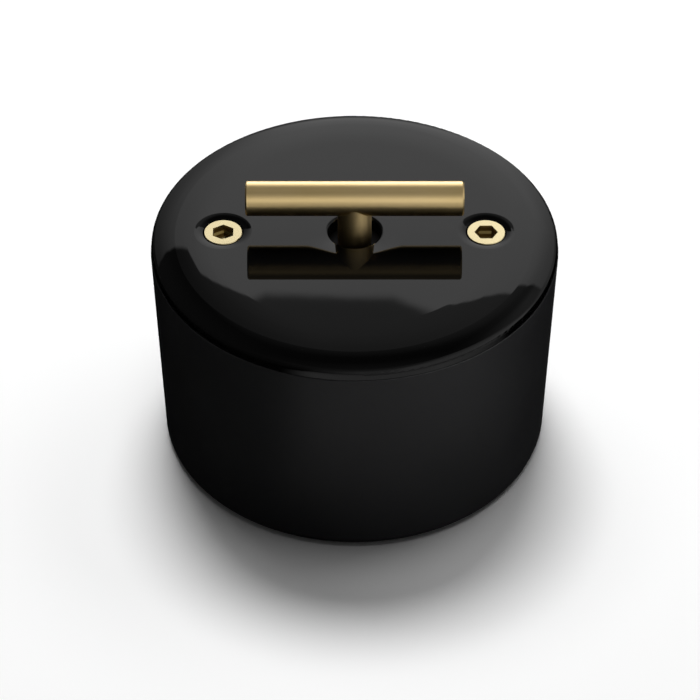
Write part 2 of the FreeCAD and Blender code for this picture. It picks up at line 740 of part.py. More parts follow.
def make_mechanism_base():
    """Ceramic block: pivot hole, screw holes, and rivet holes counterbored from below."""
    body = new_body("mechanism_base")
    diagonal = math.sqrt(0.5)
    reach = S["block_start"] + S["block_length"] + S["block_width"] / 2
    half_width = reach * diagonal + S["base_margin"]
    half_length = S["base_length"] / 2
    corner = S["base_corner"]
    plan = sketch_on(body, "XY_Plane", PILLAR_Z)
    add_outline(
        plan,
        [
            (half_width, corner - half_length),
            (half_width, half_length - corner),
            (half_width - corner, half_length),
            (corner - half_width, half_length),
            (-half_width, half_length - corner),
            (-half_width, corner - half_length),
            (corner - half_width, -half_length),
            (half_width - corner, -half_length),
        ],
        {1: corner, 3: corner, 5: corner, 7: corner},
    )
    slab = feature(body, "Pad", plan, S["base_thickness"])
    dress(body, "Chamfer", slab, lambda spot: near(spot.z, BASE_Z), S["base_edge"])
    holes = sketch_on(body, "XY_Plane", BASE_Z)
    add_circle(holes, 0, 0, S["pivot_radius"] + S["running_gap"])
    for side in (1, -1):
        add_circle(holes, 0, S["pillar_offset"] * side, S["fixing_radius"] + S["hole_gap"])
    rivet_spots = []
    for angle in QUARTERS:
        along = round(math.cos(math.radians(angle)), 12)
        across = round(math.sin(math.radians(angle)), 12)
        rivet_spots.append((BLOCK_MIDDLE * along, BLOCK_MIDDLE * across))
    for x, y in rivet_spots:
        add_circle(holes, x, y, S["rivet_radius"] + S["hole_gap"])
    feature(body, "Pocket", holes)
    counterbores = sketch_on(body, "XY_Plane", PILLAR_Z + S["rivet_head_height"])
    for x, y in rivet_spots:
        add_circle(counterbores, x, y, S["rivet_head_radius"] + S["hole_gap"])
    feature(body, "Pocket", counterbores)
    parts["mechanism_base"] = body


def make_bridge():
    """Folded steel strap over the rotor, with feet under the mechanism screws."""
    body = new_body("bridge")
    inside = S["rotor_radius"] + S["bridge_gap"]
    outside = inside + S["bridge_thickness"]
    reach = S["bridge_reach"]
    top = BRIDGE_Z + S["bridge_thickness"]
    section = sketch_on(body, "YZ_Plane")
    add_outline(
        section,
        [
            (-reach, BASE_Z),
            (-inside, BASE_Z),
            (-inside, BRIDGE_Z),
            (inside, BRIDGE_Z),
            (inside, BASE_Z),
            (reach, BASE_Z),
            (reach, FOOT_Z),
            (outside, FOOT_Z),
            (outside, top),
            (-outside, top),
            (-outside, FOOT_Z),
            (-reach, FOOT_Z),
        ],
    )
    strap = feature(body, "Pad", section, S["bridge_width"], middle=True)

    def at(y, z):
        return lambda spot: near(abs(spot.y), y) and near(spot.z, z)

    inner = S["bridge_bend"]
    outer = S["bridge_bend"] + S["bridge_thickness"]
    strap = dress(body, "Fillet", strap, at(outside, top), outer)
    strap = dress(body, "Fillet", strap, at(inside, BRIDGE_Z), inner)
    strap = dress(body, "Fillet", strap, at(outside, FOOT_Z), inner)
    strap = dress(body, "Fillet", strap, at(inside, BASE_Z), outer)

    def at_foot_corner(spot):
        return near(abs(spot.y), reach) and near(abs(spot.x), S["bridge_width"] / 2)

    dress(body, "Fillet", strap, at_foot_corner, S["bridge_corner"])
    bearing_hole = sketch_on(body, "XY_Plane", BRIDGE_Z)
    add_circle(bearing_hole, 0, 0, S["upper_radius"] + S["running_gap"] + S["bearing_wall"])
    feature(body, "Pocket", bearing_hole, S["bridge_thickness"], up=True)
    foot_holes = sketch_on(body, "XY_Plane", FOOT_Z)
    for side in (1, -1):
        add_circle(foot_holes, 0, S["pillar_offset"] * side, S["fixing_radius"] + S["hole_gap"])
    feature(body, "Pocket", foot_holes, S["bridge_thickness"])
    parts["bridge"] = body


def make_bridge_bush():
    body = new_body("bridge_bush")
    bore = S["upper_radius"] + S["running_gap"]
    sleeve = bore + S["bearing_wall"]
    flange = sleeve + S["bearing_flange"]
    profile = sketch_on(body, "XZ_Plane")
    add_outline(
        profile,
        [
            (bore, THRUST_Z),
            (flange, THRUST_Z),
            (flange, BRIDGE_Z),
            (sleeve, BRIDGE_Z),
            (sleeve, BEARING_Z),
            (bore, BEARING_Z),
        ],
    )
    turned(body, "Revolution", profile)
    parts["bridge_bush"] = body


def slotted_screw(label, radius, head_radius, head_height, seat, length):
    """A slotted cheese-head screw about its own axis, its head's underside at seat."""
    body = new_body(label)
    top = seat + head_height
    profile = sketch_on(body, "XZ_Plane")
    add_outline(
        profile,
        [
            (0, seat - length),
            (radius, seat - length),
            (radius, seat),
            (head_radius, seat),
            (head_radius, top),
            (0, top),
        ],
    )
    blank = turned(body, "Revolution", profile)
    dress(
        body,
        "Fillet",
        blank,
        lambda spot: near(spot.z, top) and near(math.hypot(spot.x, spot.y), head_radius),
        head_height / 4,
    )
    slot = sketch_on(body, "XY_Plane", top)
    half_slot = S["driver_slot"] / 2
    add_box(slot, -head_radius * 1.1, head_radius * 1.1, -half_slot, half_slot)
    feature(body, "Pocket", slot, head_height / 2)
    return body


def make_mechanism_screws():
    screws = []
    for side in (1, -1):
        screw = slotted_screw(
            "mechanism_screw",
            S["fixing_radius"],
            S["fixing_head_radius"],
            S["fixing_head_height"],
            FOOT_Z,
            S["fixing_length"],
        )
        bind(screw, "Placement.Base.y", S["pillar_offset"] * side)
        screws.append(screw)
    group("mechanism_screws", screws)


# Rotor on its spindle


def make_spindle():
    """Steel spindle: round pivot, square middle, round upper journal with a cross slot."""
    body = new_body("spindle")
    pivot_low = BASE_Z - S["pivot_length"]
    square_low = ROTOR_Z
    square_top = THRUST_Z - S["face_gap"]
    profile = sketch_on(body, "XZ_Plane")
    core = S["square_flats"] / 2
    add_outline(
        profile,
        [
            (0, pivot_low),
            (S["pivot_radius"], pivot_low),
            (S["pivot_radius"], square_low),
            (core, square_low),
            (core, square_top),
            (S["upper_radius"], square_top),
            (S["upper_radius"], SPINDLE_Z),
            (0, SPINDLE_Z),
        ],
    )
    turned(body, "Revolution", profile)
    square = sketch_on(body, "XY_Plane", square_low)
    add_box(square, -core, core, -core, core)
    feature(body, "Pad", square, square_top - square_low)
    slot = sketch_on(body, "XY_Plane", SPINDLE_Z)
    half_slot = S["tongue_thickness"] / 2 + S["tongue_gap"]
    add_box(slot, -S["upper_radius"] * 1.1, S["upper_radius"] * 1.1, -half_slot, half_slot)
    feature(body, "Pocket", slot, SPINDLE_Z - TONGUE_Z + S["slot_floor"])
    parts["spindle"] = body


def make_rotor():
    """Moulded drum with a square hole and two pockets for the contact segments."""
    body = new_body("rotor")
    half_square = S["square_flats"] / 2 + S["running_gap"]
    plan = sketch_on(body, "XY_Plane", ROTOR_Z)
    add_circle(plan, 0, 0, S["rotor_radius"])
    add_box(plan, -half_square, half_square, -half_square, half_square)
    drum = feature(body, "Pad", plan, S["rotor_height"])
    dress(
        body,
        "Chamfer",
        drum,
        lambda spot: near(math.hypot(spot.x, spot.y), S["rotor_radius"])
        and (near(spot.z, ROTOR_Z) or near(spot.z, CAM_Z)),
        S["rotor_edge"],
    )
    section = sketch_on(body, "XZ_Plane")
    segment_low = ROTOR_Z + S["segment_lift"]
    add_box(
        section,
        S["rotor_radius"] - S["segment_depth"],
        S["rotor_radius"] + S["segment_depth"],
        segment_low,
        segment_low + S["segment_height"],
    )
    pocket = turned(body, "Groove", section, S["segment_angle"])
    copies = body.newObject("PartDesign::PolarPattern", "pattern")
    copies.Originals = [pocket]
    copies.Axis = (section, ["V_Axis"])
    copies.Angle = 360
    copies.Occurrences = 2
    body.Tip = copies
    parts["rotor"] = body


def make_rotor_contacts():
    segments = []
    segment_low = ROTOR_Z + S["segment_lift"]
    for degrees in (0, HALF_TURN):
        body = new_body("rotor_contact")
        section = sketch_on(body, "XZ_Plane")
        add_box(
            section,
            S["rotor_radius"] - S["segment_depth"],
            S["rotor_radius"],
            segment_low,
            segment_low + S["segment_height"],
        )
        turned(body, "Revolution", section, S["segment_angle"])
        turn_about_axis(body, degrees)
        segments.append(body)
    group("rotor_contacts", segments)


def make_detent_cam():
    """Square steel cam with rounded corners and a collar, on the spindle's square."""
    body = new_body("detent_cam")
    half_cam = S["cam_flats"] / 2
    half_square = S["square_flats"] / 2 + S["running_gap"]
    corner = S["cam_corner"]
    straight = half_cam - corner
    plan = sketch_on(body, "XY_Plane", CAM_Z)
    add_outline(
        plan,
        [
            (half_cam, -straight),
            (half_cam, straight),
            (straight, half_cam),
            (-straight, half_cam),
            (-half_cam, straight),
            (-half_cam, -straight),
            (-straight, -half_cam),
            (straight, -half_cam),
        ],
        {1: corner, 3: corner, 5: corner, 7: corner},
    )
    feature(body, "Pad", plan, S["cam_thickness"])
    collar = sketch_on(body, "XY_Plane", CAM_Z)
    collar_radius = S["square_flats"] / math.sqrt(2) + S["collar_wall"]
    add_circle(collar, 0, 0, collar_radius)
    feature(body, "Pad", collar, THRUST_Z - S["face_gap"] - CAM_Z)
    square = sketch_on(body, "XY_Plane", CAM_Z)
    add_box(square, -half_square, half_square, -half_square, half_square)
    feature(body, "Pocket", square, up=True)
    parts["detent_cam"] = body


# Folded springs


def rounded_edges(spots, radii):
    """Straight edges through spots, with an arc of the given radius at each inner one."""
    edges = []
    start = spots[0]
    for before, corner, after, radius in zip(spots, spots[1:], spots[2:], radii):
        back = (before - corner).normalize()
        ahead = (after - corner).normalize()
        half = back.getAngle(ahead) / 2
        inset = radius / math.tan(half)
        middle = (back + ahead).normalize()
        peak = corner + middle * (radius / math.sin(half) - radius)
        arc_start = corner + back * inset
        arc_end = corner + ahead * inset
        edges.append(Part.LineSegment(start, arc_start).toShape())
        edges.append(Part.Arc(arc_start, peak, arc_end).toShape())
        start = arc_end
    edges.append(Part.LineSegment(start, spots[-1]).toShape())
    return edges


def folded_strip(spots, normal):
    """Face of a folded spring strip whose middle line runs through spots, square to normal."""
    half = number_of(S["strip_thickness"]) / 2
    tight = number_of(S["strip_bend"])
    wide = tight + 2 * half
    sides = []
    for hand in (1, -1):
        moved = []
        radii = []
        for index, spot in enumerate(spots):
            back = (spot - spots[max(index - 1, 0)])
            ahead = (spots[min(index + 1, len(spots) - 1)] - spot)
            if index in (0, len(spots) - 1):
                line = ahead if index == 0 else back
                moved.append(spot + normal.cross(line).normalize() * half * hand)
                continue
            across = normal.cross(back).normalize() + normal.cross(ahead).normalize()
            across.normalize()
            stretch = half / math.cos(back.getAngle(ahead) / 2)
            moved.append(spot + across * stretch * hand)
            turns_this_way = normal.dot(back.cross(ahead)) * hand > 0
            radii.append(tight if turns_this_way else wide)
        sides.append((moved, radii))
    (left, left_radii), (right, right_radii) = sides
    edges = rounded_edges(left, left_radii)
    edges.append(Part.LineSegment(left[-1], right[-1]).toShape())
    edges.extend(rounded_edges(right, right_radii))
    edges.append(Part.LineSegment(right[0], left[0]).toShape())
    return Part.Face(Part.Wire(Part.__sortEdges__(edges)))


def make_contact_springs():
    """Four fingers: foot under the terminal, upright, arm, knee on the rotor, lifted tip."""
    n = {alias: size.number for alias, size in S.items()}
    half = n["strip_thickness"] / 2
    base_z = number_of(BASE_Z)
    foot_end = n["block_start"] + n["block_length"] * 0.9
    upright = n["block_start"] - n["strip_bend"] - half
    stand = upright - n["rotor_radius"]
    knee_round = n["strip_bend"] + half
    knee_z = number_of(ROTOR_Z) + n["segment_lift"] + n["segment_height"] / 2
    arm_z = base_z + n["segment_lift"]
    tip_z = knee_z + n["segment_height"] / 2
    tip = upright - n["strip_thickness"]
    knee = n["rotor_radius"] + n["finger_gap"] + half
    # The knee's bend cuts its sharp corner off, so the corner moves in until the bend meets the gap
    for _ in range(6):
        back = V(upright - knee, 0, arm_z - knee_z)
        ahead = V(tip - knee, 0, tip_z - knee_z)
        half_angle = back.getAngle(ahead) / 2
        cut_off = knee_round * (1 / math.sin(half_angle) - 1)
        knee = n["rotor_radius"] + n["finger_gap"] + half - cut_off
    spots = [
        V(foot_end, 0, base_z + half),
        V(upright, 0, base_z + half),
        V(upright, 0, arm_z),
        V(knee, 0, knee_z),
        V(tip, 0, tip_z),
    ]
    section = folded_strip(spots, V(0, 1, 0))
    section.translate(V(0, -n["finger_width"] / 2, 0))
    finger = section.extrude(V(0, n["finger_width"], 0))
    hole = Part.makeCylinder(
        n["rivet_radius"] + n["running_gap"],
        n["strip_thickness"] * 3,
        V(number_of(BLOCK_MIDDLE), 0, base_z - n["strip_thickness"]),
    )
    slit = Part.makeBox(
        stand * 3,
        n["finger_slit"],
        n["segment_height"] * 2,
        V(n["rotor_radius"] - stand, -n["finger_slit"] / 2, arm_z + n["strip_bend"]),
    )
    finger = finger.cut(hole).cut(slit)
    fingers = []
    for degrees in QUARTERS:
        item = doc.addObject("Part::Feature", "contact_spring")
        item.Shape = finger
        turn_about_axis(item, degrees)
        fingers.append(item)
    group("contact_springs", fingers)


def make_detent_springs():
    """Two bowed leaf springs that clip round the bridge's legs and press on the cam."""
    n = {alias: size.number for alias, size in S.items()}
    half = n["strip_thickness"] / 2
    pressing = n["cam_flats"] / 2 + n["detent_gap"] + half
    flat_end = n["cam_flats"] / 4
    side = n["bridge_width"] / 2 + half + n["clip_gap"]
    leg = n["rotor_radius"] + n["bridge_gap"]
    bow = leg - n["strip_bend"] * 2
    hook = leg + n["bridge_thickness"] + half + n["clip_gap"]
    lip = side - n["bridge_width"] / 6
    spots = [
        V(-lip, hook, 0),
        V(-side, hook, 0),
        V(-side, bow, 0),
        V(-flat_end, pressing, 0),
        V(flat_end, pressing, 0),
        V(side, bow, 0),
        V(side, hook, 0),
        V(lip, hook, 0),
    ]
    section = folded_strip(spots, V(0, 0, 1))
    section.translate(V(0, 0, number_of(CAM_Z + S["detent_margin"])))
    leaf = section.extrude(V(0, 0, n["cam_thickness"] - n["detent_margin"] * 2))
    leaves = []
    for degrees in (0, HALF_TURN):
        item = doc.addObject("Part::Feature", "detent_spring")
        item.Shape = leaf
        turn_about_axis(item, degrees)
        leaves.append(item)
    group("detent_springs", leaves)


# Terminals


def terminal_block():
    """Brass block with a wire hole from outside, a clamp screw's hole and a rivet's hole."""
    body = new_body("terminal_block")
    half_width = S["block_width"] / 2
    start = S["block_start"]
    end = S["block_start"] + S["block_length"]
    plan = sketch_on(body, "XY_Plane", BLOCK_Z)
    add_box(plan, start, end, -half_width, half_width)
    blank = feature(body, "Pad", plan, S["block_height"])

    def on_top(spot):
        return near(spot.z, BLOCK_TOP_Z)

    dress(body, "Chamfer", blank, on_top, S["block_edge"])
    wire = sketch_on(body, "YZ_Plane", end)
    wire_z = BLOCK_Z + S["block_height"] * 0.55
    add_circle(wire, 0, wire_z, S["wire_radius"])
    feature(body, "Pocket", wire, S["wire_depth"])
    clamp = sketch_on(body, "XY_Plane", wire_z)
    add_circle(clamp, BLOCK_MIDDLE, 0, S["clamp_radius"])
    feature(body, "Pocket", clamp, up=True)
    rivet = sketch_on(body, "XY_Plane", BLOCK_Z)
    add_circle(rivet, BLOCK_MIDDLE, 0, S["rivet_radius"])
    feature(body, "Pocket", rivet, S["rivet_reach"], up=True)
    return body


def make_terminals():
    blocks = []
    screws = []
    rivets = []
    wire_top = BLOCK_Z + S["block_height"] * 0.55 + S["wire_radius"] / 2
    for degrees in QUARTERS:
        block = terminal_block()
        turn_about_axis(block, degrees)
        blocks.append(block)
        screw = slotted_screw(
            "terminal_screw",
            S["clamp_radius"],
            S["clamp_head_radius"],
            S["clamp_head_height"],
            BLOCK_TOP_Z,
            BLOCK_TOP_Z - wire_top,
        )
        rivet = new_body("terminal_rivet")
        profile = sketch_on(rivet, "XZ_Plane")
        head_top = PILLAR_Z + S["rivet_head_height"]
        add_outline(
            profile,
            [
                (0, PILLAR_Z + S["hole_gap"]),
                (S["rivet_head_radius"], PILLAR_Z + S["hole_gap"]),
                (S["rivet_head_radius"], head_top),
                (S["rivet_radius"], head_top),
                (S["rivet_radius"], BLOCK_Z + S["rivet_reach"]),
                (0, BLOCK_Z + S["rivet_reach"]),
            ],
        )
        turned(rivet, "Revolution", profile)
        along = round(math.cos(math.radians(degrees)), 12)
        across = round(math.sin(math.radians(degrees)), 12)
        for item in (screw, rivet):
            item.Placement.Rotation = FreeCAD.Rotation(V(0, 0, 1), degrees)
            bind(item, "Placement.Base.x", BLOCK_MIDDLE * along)
            bind(item, "Placement.Base.y", BLOCK_MIDDLE * across)
        screws.append(screw)
        rivets.append(rivet)
    group("terminal_blocks", blocks)
    group("terminal_screws", screws)
    group("terminal_rivets", rivets)


def check_document():
    """Stop if any object failed, or if a cut left its solid as it was."""
    for item in doc.Objects:
        if "Invalid" in item.State or "Error" in item.State:
            raise ValueError("%s failed: %s" % (item.Name, item.State))
        if item.TypeId in ("PartDesign::Pocket", "PartDesign::Groove"):
            before = item.BaseFeature.Shape.Volume
            if item.Shape.Volume > before - 0.01:
                raise ValueError("%s cuts nothing" % item.Name)
    for label, item in parts.items():
        if item.Shape.isNull() or not item.Shape.isValid():
            raise ValueError("%s has no valid shape" % label)


make_housing()
make_top_cover()
make_cover_screws()
make_dolly_bar()
make_dolly_stem()
make_stem_retainers()
make_inserts()
make_mechanism_base()
make_bridge()
make_bridge_bush()
make_mechanism_screws()
parts["thrust_washer"] = ring(
    "thrust_washer",
    S["pivot_radius"] + S["hole_gap"],
    S["pivot_radius"] + S["hole_gap"] + S["washer_rim"],
    BASE_Z,
    BASE_Z + S["washer_thickness"],
)
make_spindle()
make_rotor()
make_rotor_contacts()
make_detent_cam()
make_contact_springs()
make_detent_springs()
make_terminals()
doc.recompute()
check_document()

os.makedirs("parts", exist_ok=True)
for label, item in parts.items():
    item.Shape.exportStep("parts/%s.step" % label)
    print("%-18s %2d solids %9.1f mm3" % (label, len(item.Shape.Solids), item.Shape.Volume))
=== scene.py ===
# %% [markdown]
# # A rotary light switch with a brass T-bar handle
#
# The switch is a satin black drum with a gloss black glazed cover. Two brass screws are sunk in
# the cover, and a brass T-bar stands in its middle and turns. Its solid pieces come from the CAD
# frame at their true sizes. This file gives them their finishes, adds the screw threads and the
# knurls that the CAD leaves out, and sets up the camera, the floor and the light of a small
# studio.

# %% Load the frame
import math

import bpy
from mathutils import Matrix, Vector


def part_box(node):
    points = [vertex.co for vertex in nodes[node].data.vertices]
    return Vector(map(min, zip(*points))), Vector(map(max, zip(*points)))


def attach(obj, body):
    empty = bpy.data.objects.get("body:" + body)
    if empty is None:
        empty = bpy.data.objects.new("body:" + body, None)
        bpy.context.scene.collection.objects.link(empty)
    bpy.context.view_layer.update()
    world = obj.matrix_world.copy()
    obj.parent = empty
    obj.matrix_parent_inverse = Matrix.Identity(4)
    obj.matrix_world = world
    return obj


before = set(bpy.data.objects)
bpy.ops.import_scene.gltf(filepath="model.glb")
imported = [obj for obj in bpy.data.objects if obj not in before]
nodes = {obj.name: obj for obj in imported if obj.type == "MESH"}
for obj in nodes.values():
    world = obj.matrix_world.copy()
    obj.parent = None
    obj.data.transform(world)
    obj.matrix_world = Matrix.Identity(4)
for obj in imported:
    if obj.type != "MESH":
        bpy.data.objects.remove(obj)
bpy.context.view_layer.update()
print("pieces in the frame:", len(nodes))

# %% [markdown]
# Colours are easiest to pick as the sRGB hex values that a paint program shows. Blender
# calculates with linear light, so one function turns each value over. Lengths are written in
# millimetres, while patterns read the piece's own coordinates in metres, so a pattern with spots
# of 2 mm has a scale of 1 / (2 * MM) = 500.

# %% Colours and lengths
MM = 0.001


def linear(hex_colour):
    """Linear RGBA from an sRGB hex value such as #d8b46a."""
    channels = [int(hex_colour[i : i + 2], 16) / 255 for i in (1, 3, 5)]
    curve = [c / 12.92 if c <= 0.04045 else ((c + 0.055) / 1.055) ** 2.4 for c in channels]
    return (*curve, 1.0)


print("one millimetre is", MM, "Blender units")
print("#808080 is", round(linear("#808080")[0], 3), "in linear light")

# %% [markdown]
# A material can be drawn by hand in the node editor. Built in a script it reads from top to bottom
# like a recipe, and each number is changed in one place. One small function adds any node with its
# settings and its links. Another starts a material with its surface shader and its output.


# %% Nodes and materials
def add(tree, kind, settings=None, feeds=None):
    """Adds a node: settings for its properties and plain inputs, feeds for what runs into it."""
    node = tree.nodes.new(kind)
    for name, value in (settings or {}).items():
        if isinstance(name, str) and hasattr(node, name):
            setattr(node, name, value)
        else:
            node.inputs[name].default_value = value
    for name, source in (feeds or {}).items():
        tree.links.new(source, node.inputs[name])
    return node


def new_material(name, colour, metallic, roughness):
    """A material with an empty tree, its surface shader and its output."""
    material = bpy.data.materials.new(name)
    material.use_nodes = True
    tree = material.node_tree
    tree.nodes.clear()
    shader = add(
        tree,
        "ShaderNodeBsdfPrincipled",
        {"Base Color": linear(colour), "Metallic": metallic, "Roughness": roughness},
    )
    add(tree, "ShaderNodeOutputMaterial", feeds={"Surface": shader.outputs[0]})
    return material, tree, shader


print("each material starts with a surface shader and an output")

# %% [markdown]
# The photograph looks down on the switch at about 42 degrees, through a long lens that keeps the
# drum's sides almost parallel. The camera's place was found by matching the rim, the foot and the
# two screws.

# %% Camera
look_down = 41.66  # degrees below the horizon
camera_place = (-0.79 * MM, -361.73 * MM, 336.83 * MM)
camera_data = bpy.data.cameras.new("camera")
camera_data.sensor_width = 36.0
camera_data.lens = 139.97
camera = bpy.data.objects.new("camera", camera_data)
camera.location = camera_place
camera.rotation_euler = (math.radians(90 - look_down), 0, 0)
bpy.context.scene.collection.objects.link(camera)
bpy.context.scene.camera = camera
print("camera looks down at", look_down, "degrees from", camera_place)

# %% [markdown]
# ## The drum: pressed phenolic with a satin skin
#
# The drum is pressed from phenolic powder in a hot steel mould. Its skin copies the mould, which
# was blasted to a satin grain, and a slow unevenness from the shrinking resin lies under that
# grain. A plain grey and one roughness would look like paint. So a fine noise makes the grain, a
# coarse one makes the skin roll a little, and the same coarse noise shifts the roughness, because
# the skin is glossier where the resin was pressed hardest.

# %% Satin phenolic
satin_phenolic, tree, shader = new_material("satin_pressed_phenolic", "#0f0f10", 0.0, 0.5)
# Thermosets reflect a little more than acrylic, but the blasted skin scatters most of it.
shader.inputs["IOR"].default_value = 1.5
shader.inputs["Specular IOR Level"].default_value = 0.2
place = add(tree, "ShaderNodeTexCoord")
# The eye sees spots of about 14 mm where the sheen changes.
flow = add(
    tree,
    "ShaderNodeTexNoise",
    {"Scale": 1 / (14 * MM), "Detail": 2.0, "Roughness": 0.4},
    {"Vector": place.outputs["Object"]},
)
sheen = add(
    tree,
    "ShaderNodeMapRange",
    {"From Min": 0.3, "From Max": 0.7, "To Min": 0.47, "To Max": 0.55},
    {"Value": flow.outputs["Fac"]},
)
tree.links.new(sheen.outputs[0], shader.inputs["Roughness"])
print("drum finish:", satin_phenolic.name)

# %% [markdown]
# The grain and the slow waves could be one noise with much detail. Two bumps, one laid on the
# other, keep their heights apart, so the grain can be made finer without flattening the waves.

# %% Grain of the drum
# A blasted mould has a grain of about 0.1 mm. It is drawn at 0.25 mm so that it shows.
grain = add(
    tree,
    "ShaderNodeTexNoise",
    {"Scale": 1 / (0.25 * MM), "Detail": 1.0},
    {"Vector": place.outputs["Object"]},
)
rolling = add(
    tree,
    "ShaderNodeBump",
    {"Distance": 0.012 * MM, "Strength": 0.6},
    {"Height": flow.outputs["Fac"]},
)
skin = add(
    tree,
    "ShaderNodeBump",
    {"Distance": 0.0035 * MM, "Strength": 0.5},
    {"Height": grain.outputs["Fac"], "Normal": rolling.outputs[0]},
)
tree.links.new(skin.outputs[0], shader.inputs["Normal"])
print("grain on the drum: 0.25 mm, on waves of 14 mm")

# %% Black of the drum
# Wood flour in the powder leaves the black a trace uneven.
filler = add(
    tree,
    "ShaderNodeTexNoise",
    {"Scale": 1 / (1.2 * MM), "Detail": 3.0},
    {"Vector": place.outputs["Object"]},
)
tone = add(
    tree,
    "ShaderNodeMix",
    {"data_type": "RGBA", 6: linear("#0e0e0f"), 7: linear("#111112")},
    {0: filler.outputs["Fac"]},
)
tree.links.new(tone.outputs[2], shader.inputs["Base Color"])
print("nodes in the drum's finish:", len(tree.nodes))

# %% [markdown]
# ## The cover: black glaze on porcelain
#
# The cover is porcelain, dipped in black glaze and fired. The molten glaze levels itself but never
# quite, and what is mirrored in it runs in slow waves. Where the cover stood in the kiln, on its
# ring, and inside, the porcelain is left bare. The glaze is almost a mirror, so a slope of a
# twentieth of a degree already bends a reflected edge. Its waves are therefore only a few
# thousandths of a millimetre high, and come from a bump, not from moved points.

# %% Black glaze
black_glaze, tree, shader = new_material("black_glazed_porcelain", "#050505", 0.0, 0.02)
shader.inputs["IOR"].default_value = 1.45
shader.inputs["Specular IOR Level"].default_value = 0.3
place = add(tree, "ShaderNodeTexCoord")
# Waves of about 22 mm, as the edge of the mirrored backdrop shows them.
waves = add(
    tree,
    "ShaderNodeTexNoise",
    {"Scale": 1 / (22 * MM), "Detail": 0.0},
    {"Vector": place.outputs["Object"]},
)
leveled = add(
    tree,
    "ShaderNodeBump",
    {"Distance": 0.008 * MM, "Strength": 1.0},
    {"Height": waves.outputs["Fac"]},
)
print("cover finish:", black_glaze.name)

# %% [markdown]
# In front of the middle hole the mirrored bar's edge bends down, so the glaze sinks there a
# little towards the hole. A bump could draw the dip, but its edge would show as a ring. Leaning
# the normal itself, a little more with each millimetre towards the hole, has no such edge.

# %% The dip in front of the middle hole
dip_start = 9 * MM
hole_edge = 4.5 * MM
lean_per_metre = 36
height = add(tree, "ShaderNodeSeparateXYZ", feeds={"Vector": place.outputs["Object"]})
flat = add(tree, "ShaderNodeCombineXYZ", feeds={"X": height.outputs["X"], "Y": height.outputs["Y"]})
off_axis = add(tree, "ShaderNodeVectorMath", {"operation": "LENGTH"}, {0: flat.outputs[0]})
lean = add(
    tree,
    "ShaderNodeMapRange",
    {
        "From Min": dip_start,
        "From Max": hole_edge,
        "To Max": -lean_per_metre * (dip_start - hole_edge),
    },
    {"Value": off_axis.outputs["Value"]},
)
front = add(
    tree,
    "ShaderNodeMapRange",
    {"interpolation_type": "SMOOTHSTEP", "From Min": 0.0, "From Max": -4 * MM},
    {"Value": height.outputs["Y"]},
)
amount = add(
    tree,
    "ShaderNodeMath",
    {"operation": "MULTIPLY"},
    {0: lean.outputs[0], 1: front.outputs[0]},
)
outward = add(tree, "ShaderNodeVectorMath", {"operation": "NORMALIZE"}, {0: flat.outputs[0]})
leaning = add(
    tree,
    "ShaderNodeVectorMath",
    {"operation": "SCALE"},
    {0: outward.outputs[0], "Scale": amount.outputs[0]},
)
summed = add(
    tree,
    "ShaderNodeVectorMath",
    {"operation": "ADD"},
    {0: leveled.outputs[0], 1: leaning.outputs[0]},
)
dished = add(tree, "ShaderNodeVectorMath", {"operation": "NORMALIZE"}, {0: summed.outputs[0]})
print("the glaze dips from", dip_start / MM, "mm off the axis to the hole's edge")

# %% Skin of the glaze
# The fine skin of a fired glaze, with dimples of about 2.5 mm that only soften an edge.
dimples = add(
    tree,
    "ShaderNodeTexNoise",
    {"Scale": 1 / (2.5 * MM), "Detail": 0.0},
    {"Vector": place.outputs["Object"]},
)
skin = add(
    tree,
    "ShaderNodeBump",
    {"Distance": 0.0002 * MM, "Strength": 1.0},
    {"Height": dimples.outputs["Fac"], "Normal": dished.outputs[0]},
)
tree.links.new(skin.outputs[0], shader.inputs["Normal"])
print("dimples in the glaze: 2.5 mm")

# %% [markdown]
# The glaze is wiped off the ring that sits in the drum, or the cover would stick to its support
# in the kiln. One material does for both, because the height tells them apart: the top edge of
# the drum is the seam, and the glaze ends just below it.

# %% Bare porcelain
low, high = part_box("housing")
seam = high.z
bare = add(
    tree,
    "ShaderNodeMapRange",
    {"From Min": seam - 0.3 * MM, "From Max": seam - 0.5 * MM},
    {"Value": height.outputs["Z"]},
)
body = add(
    tree,
    "ShaderNodeMix",
    {"data_type": "RGBA", 6: linear("#050505"), 7: linear("#c9c2b4")},
    {0: bare.outputs[0]},
)
tree.links.new(body.outputs[2], shader.inputs["Base Color"])
chalky = add(
    tree,
    "ShaderNodeMapRange",
    {"To Min": 0.02, "To Max": 0.75},
    {"Value": bare.outputs[0]},
)
tree.links.new(chalky.outputs[0], shader.inputs["Roughness"])
print("the seam is", round(seam / MM, 2), "mm above the wall")

# %% [markdown]
# ## The handle: satin brass
#
# The bar and the stem are turned from brass rod, drawn through fine abrasive along their length
# and lacquered. The abrasive leaves fine lines that run with the rod. A highlight spreads across
# such lines, which gives the soft bands along the bar. The lines come from a noise that is
# stretched along the rod, so the bar along X and the stem along Z each need their own stretch.

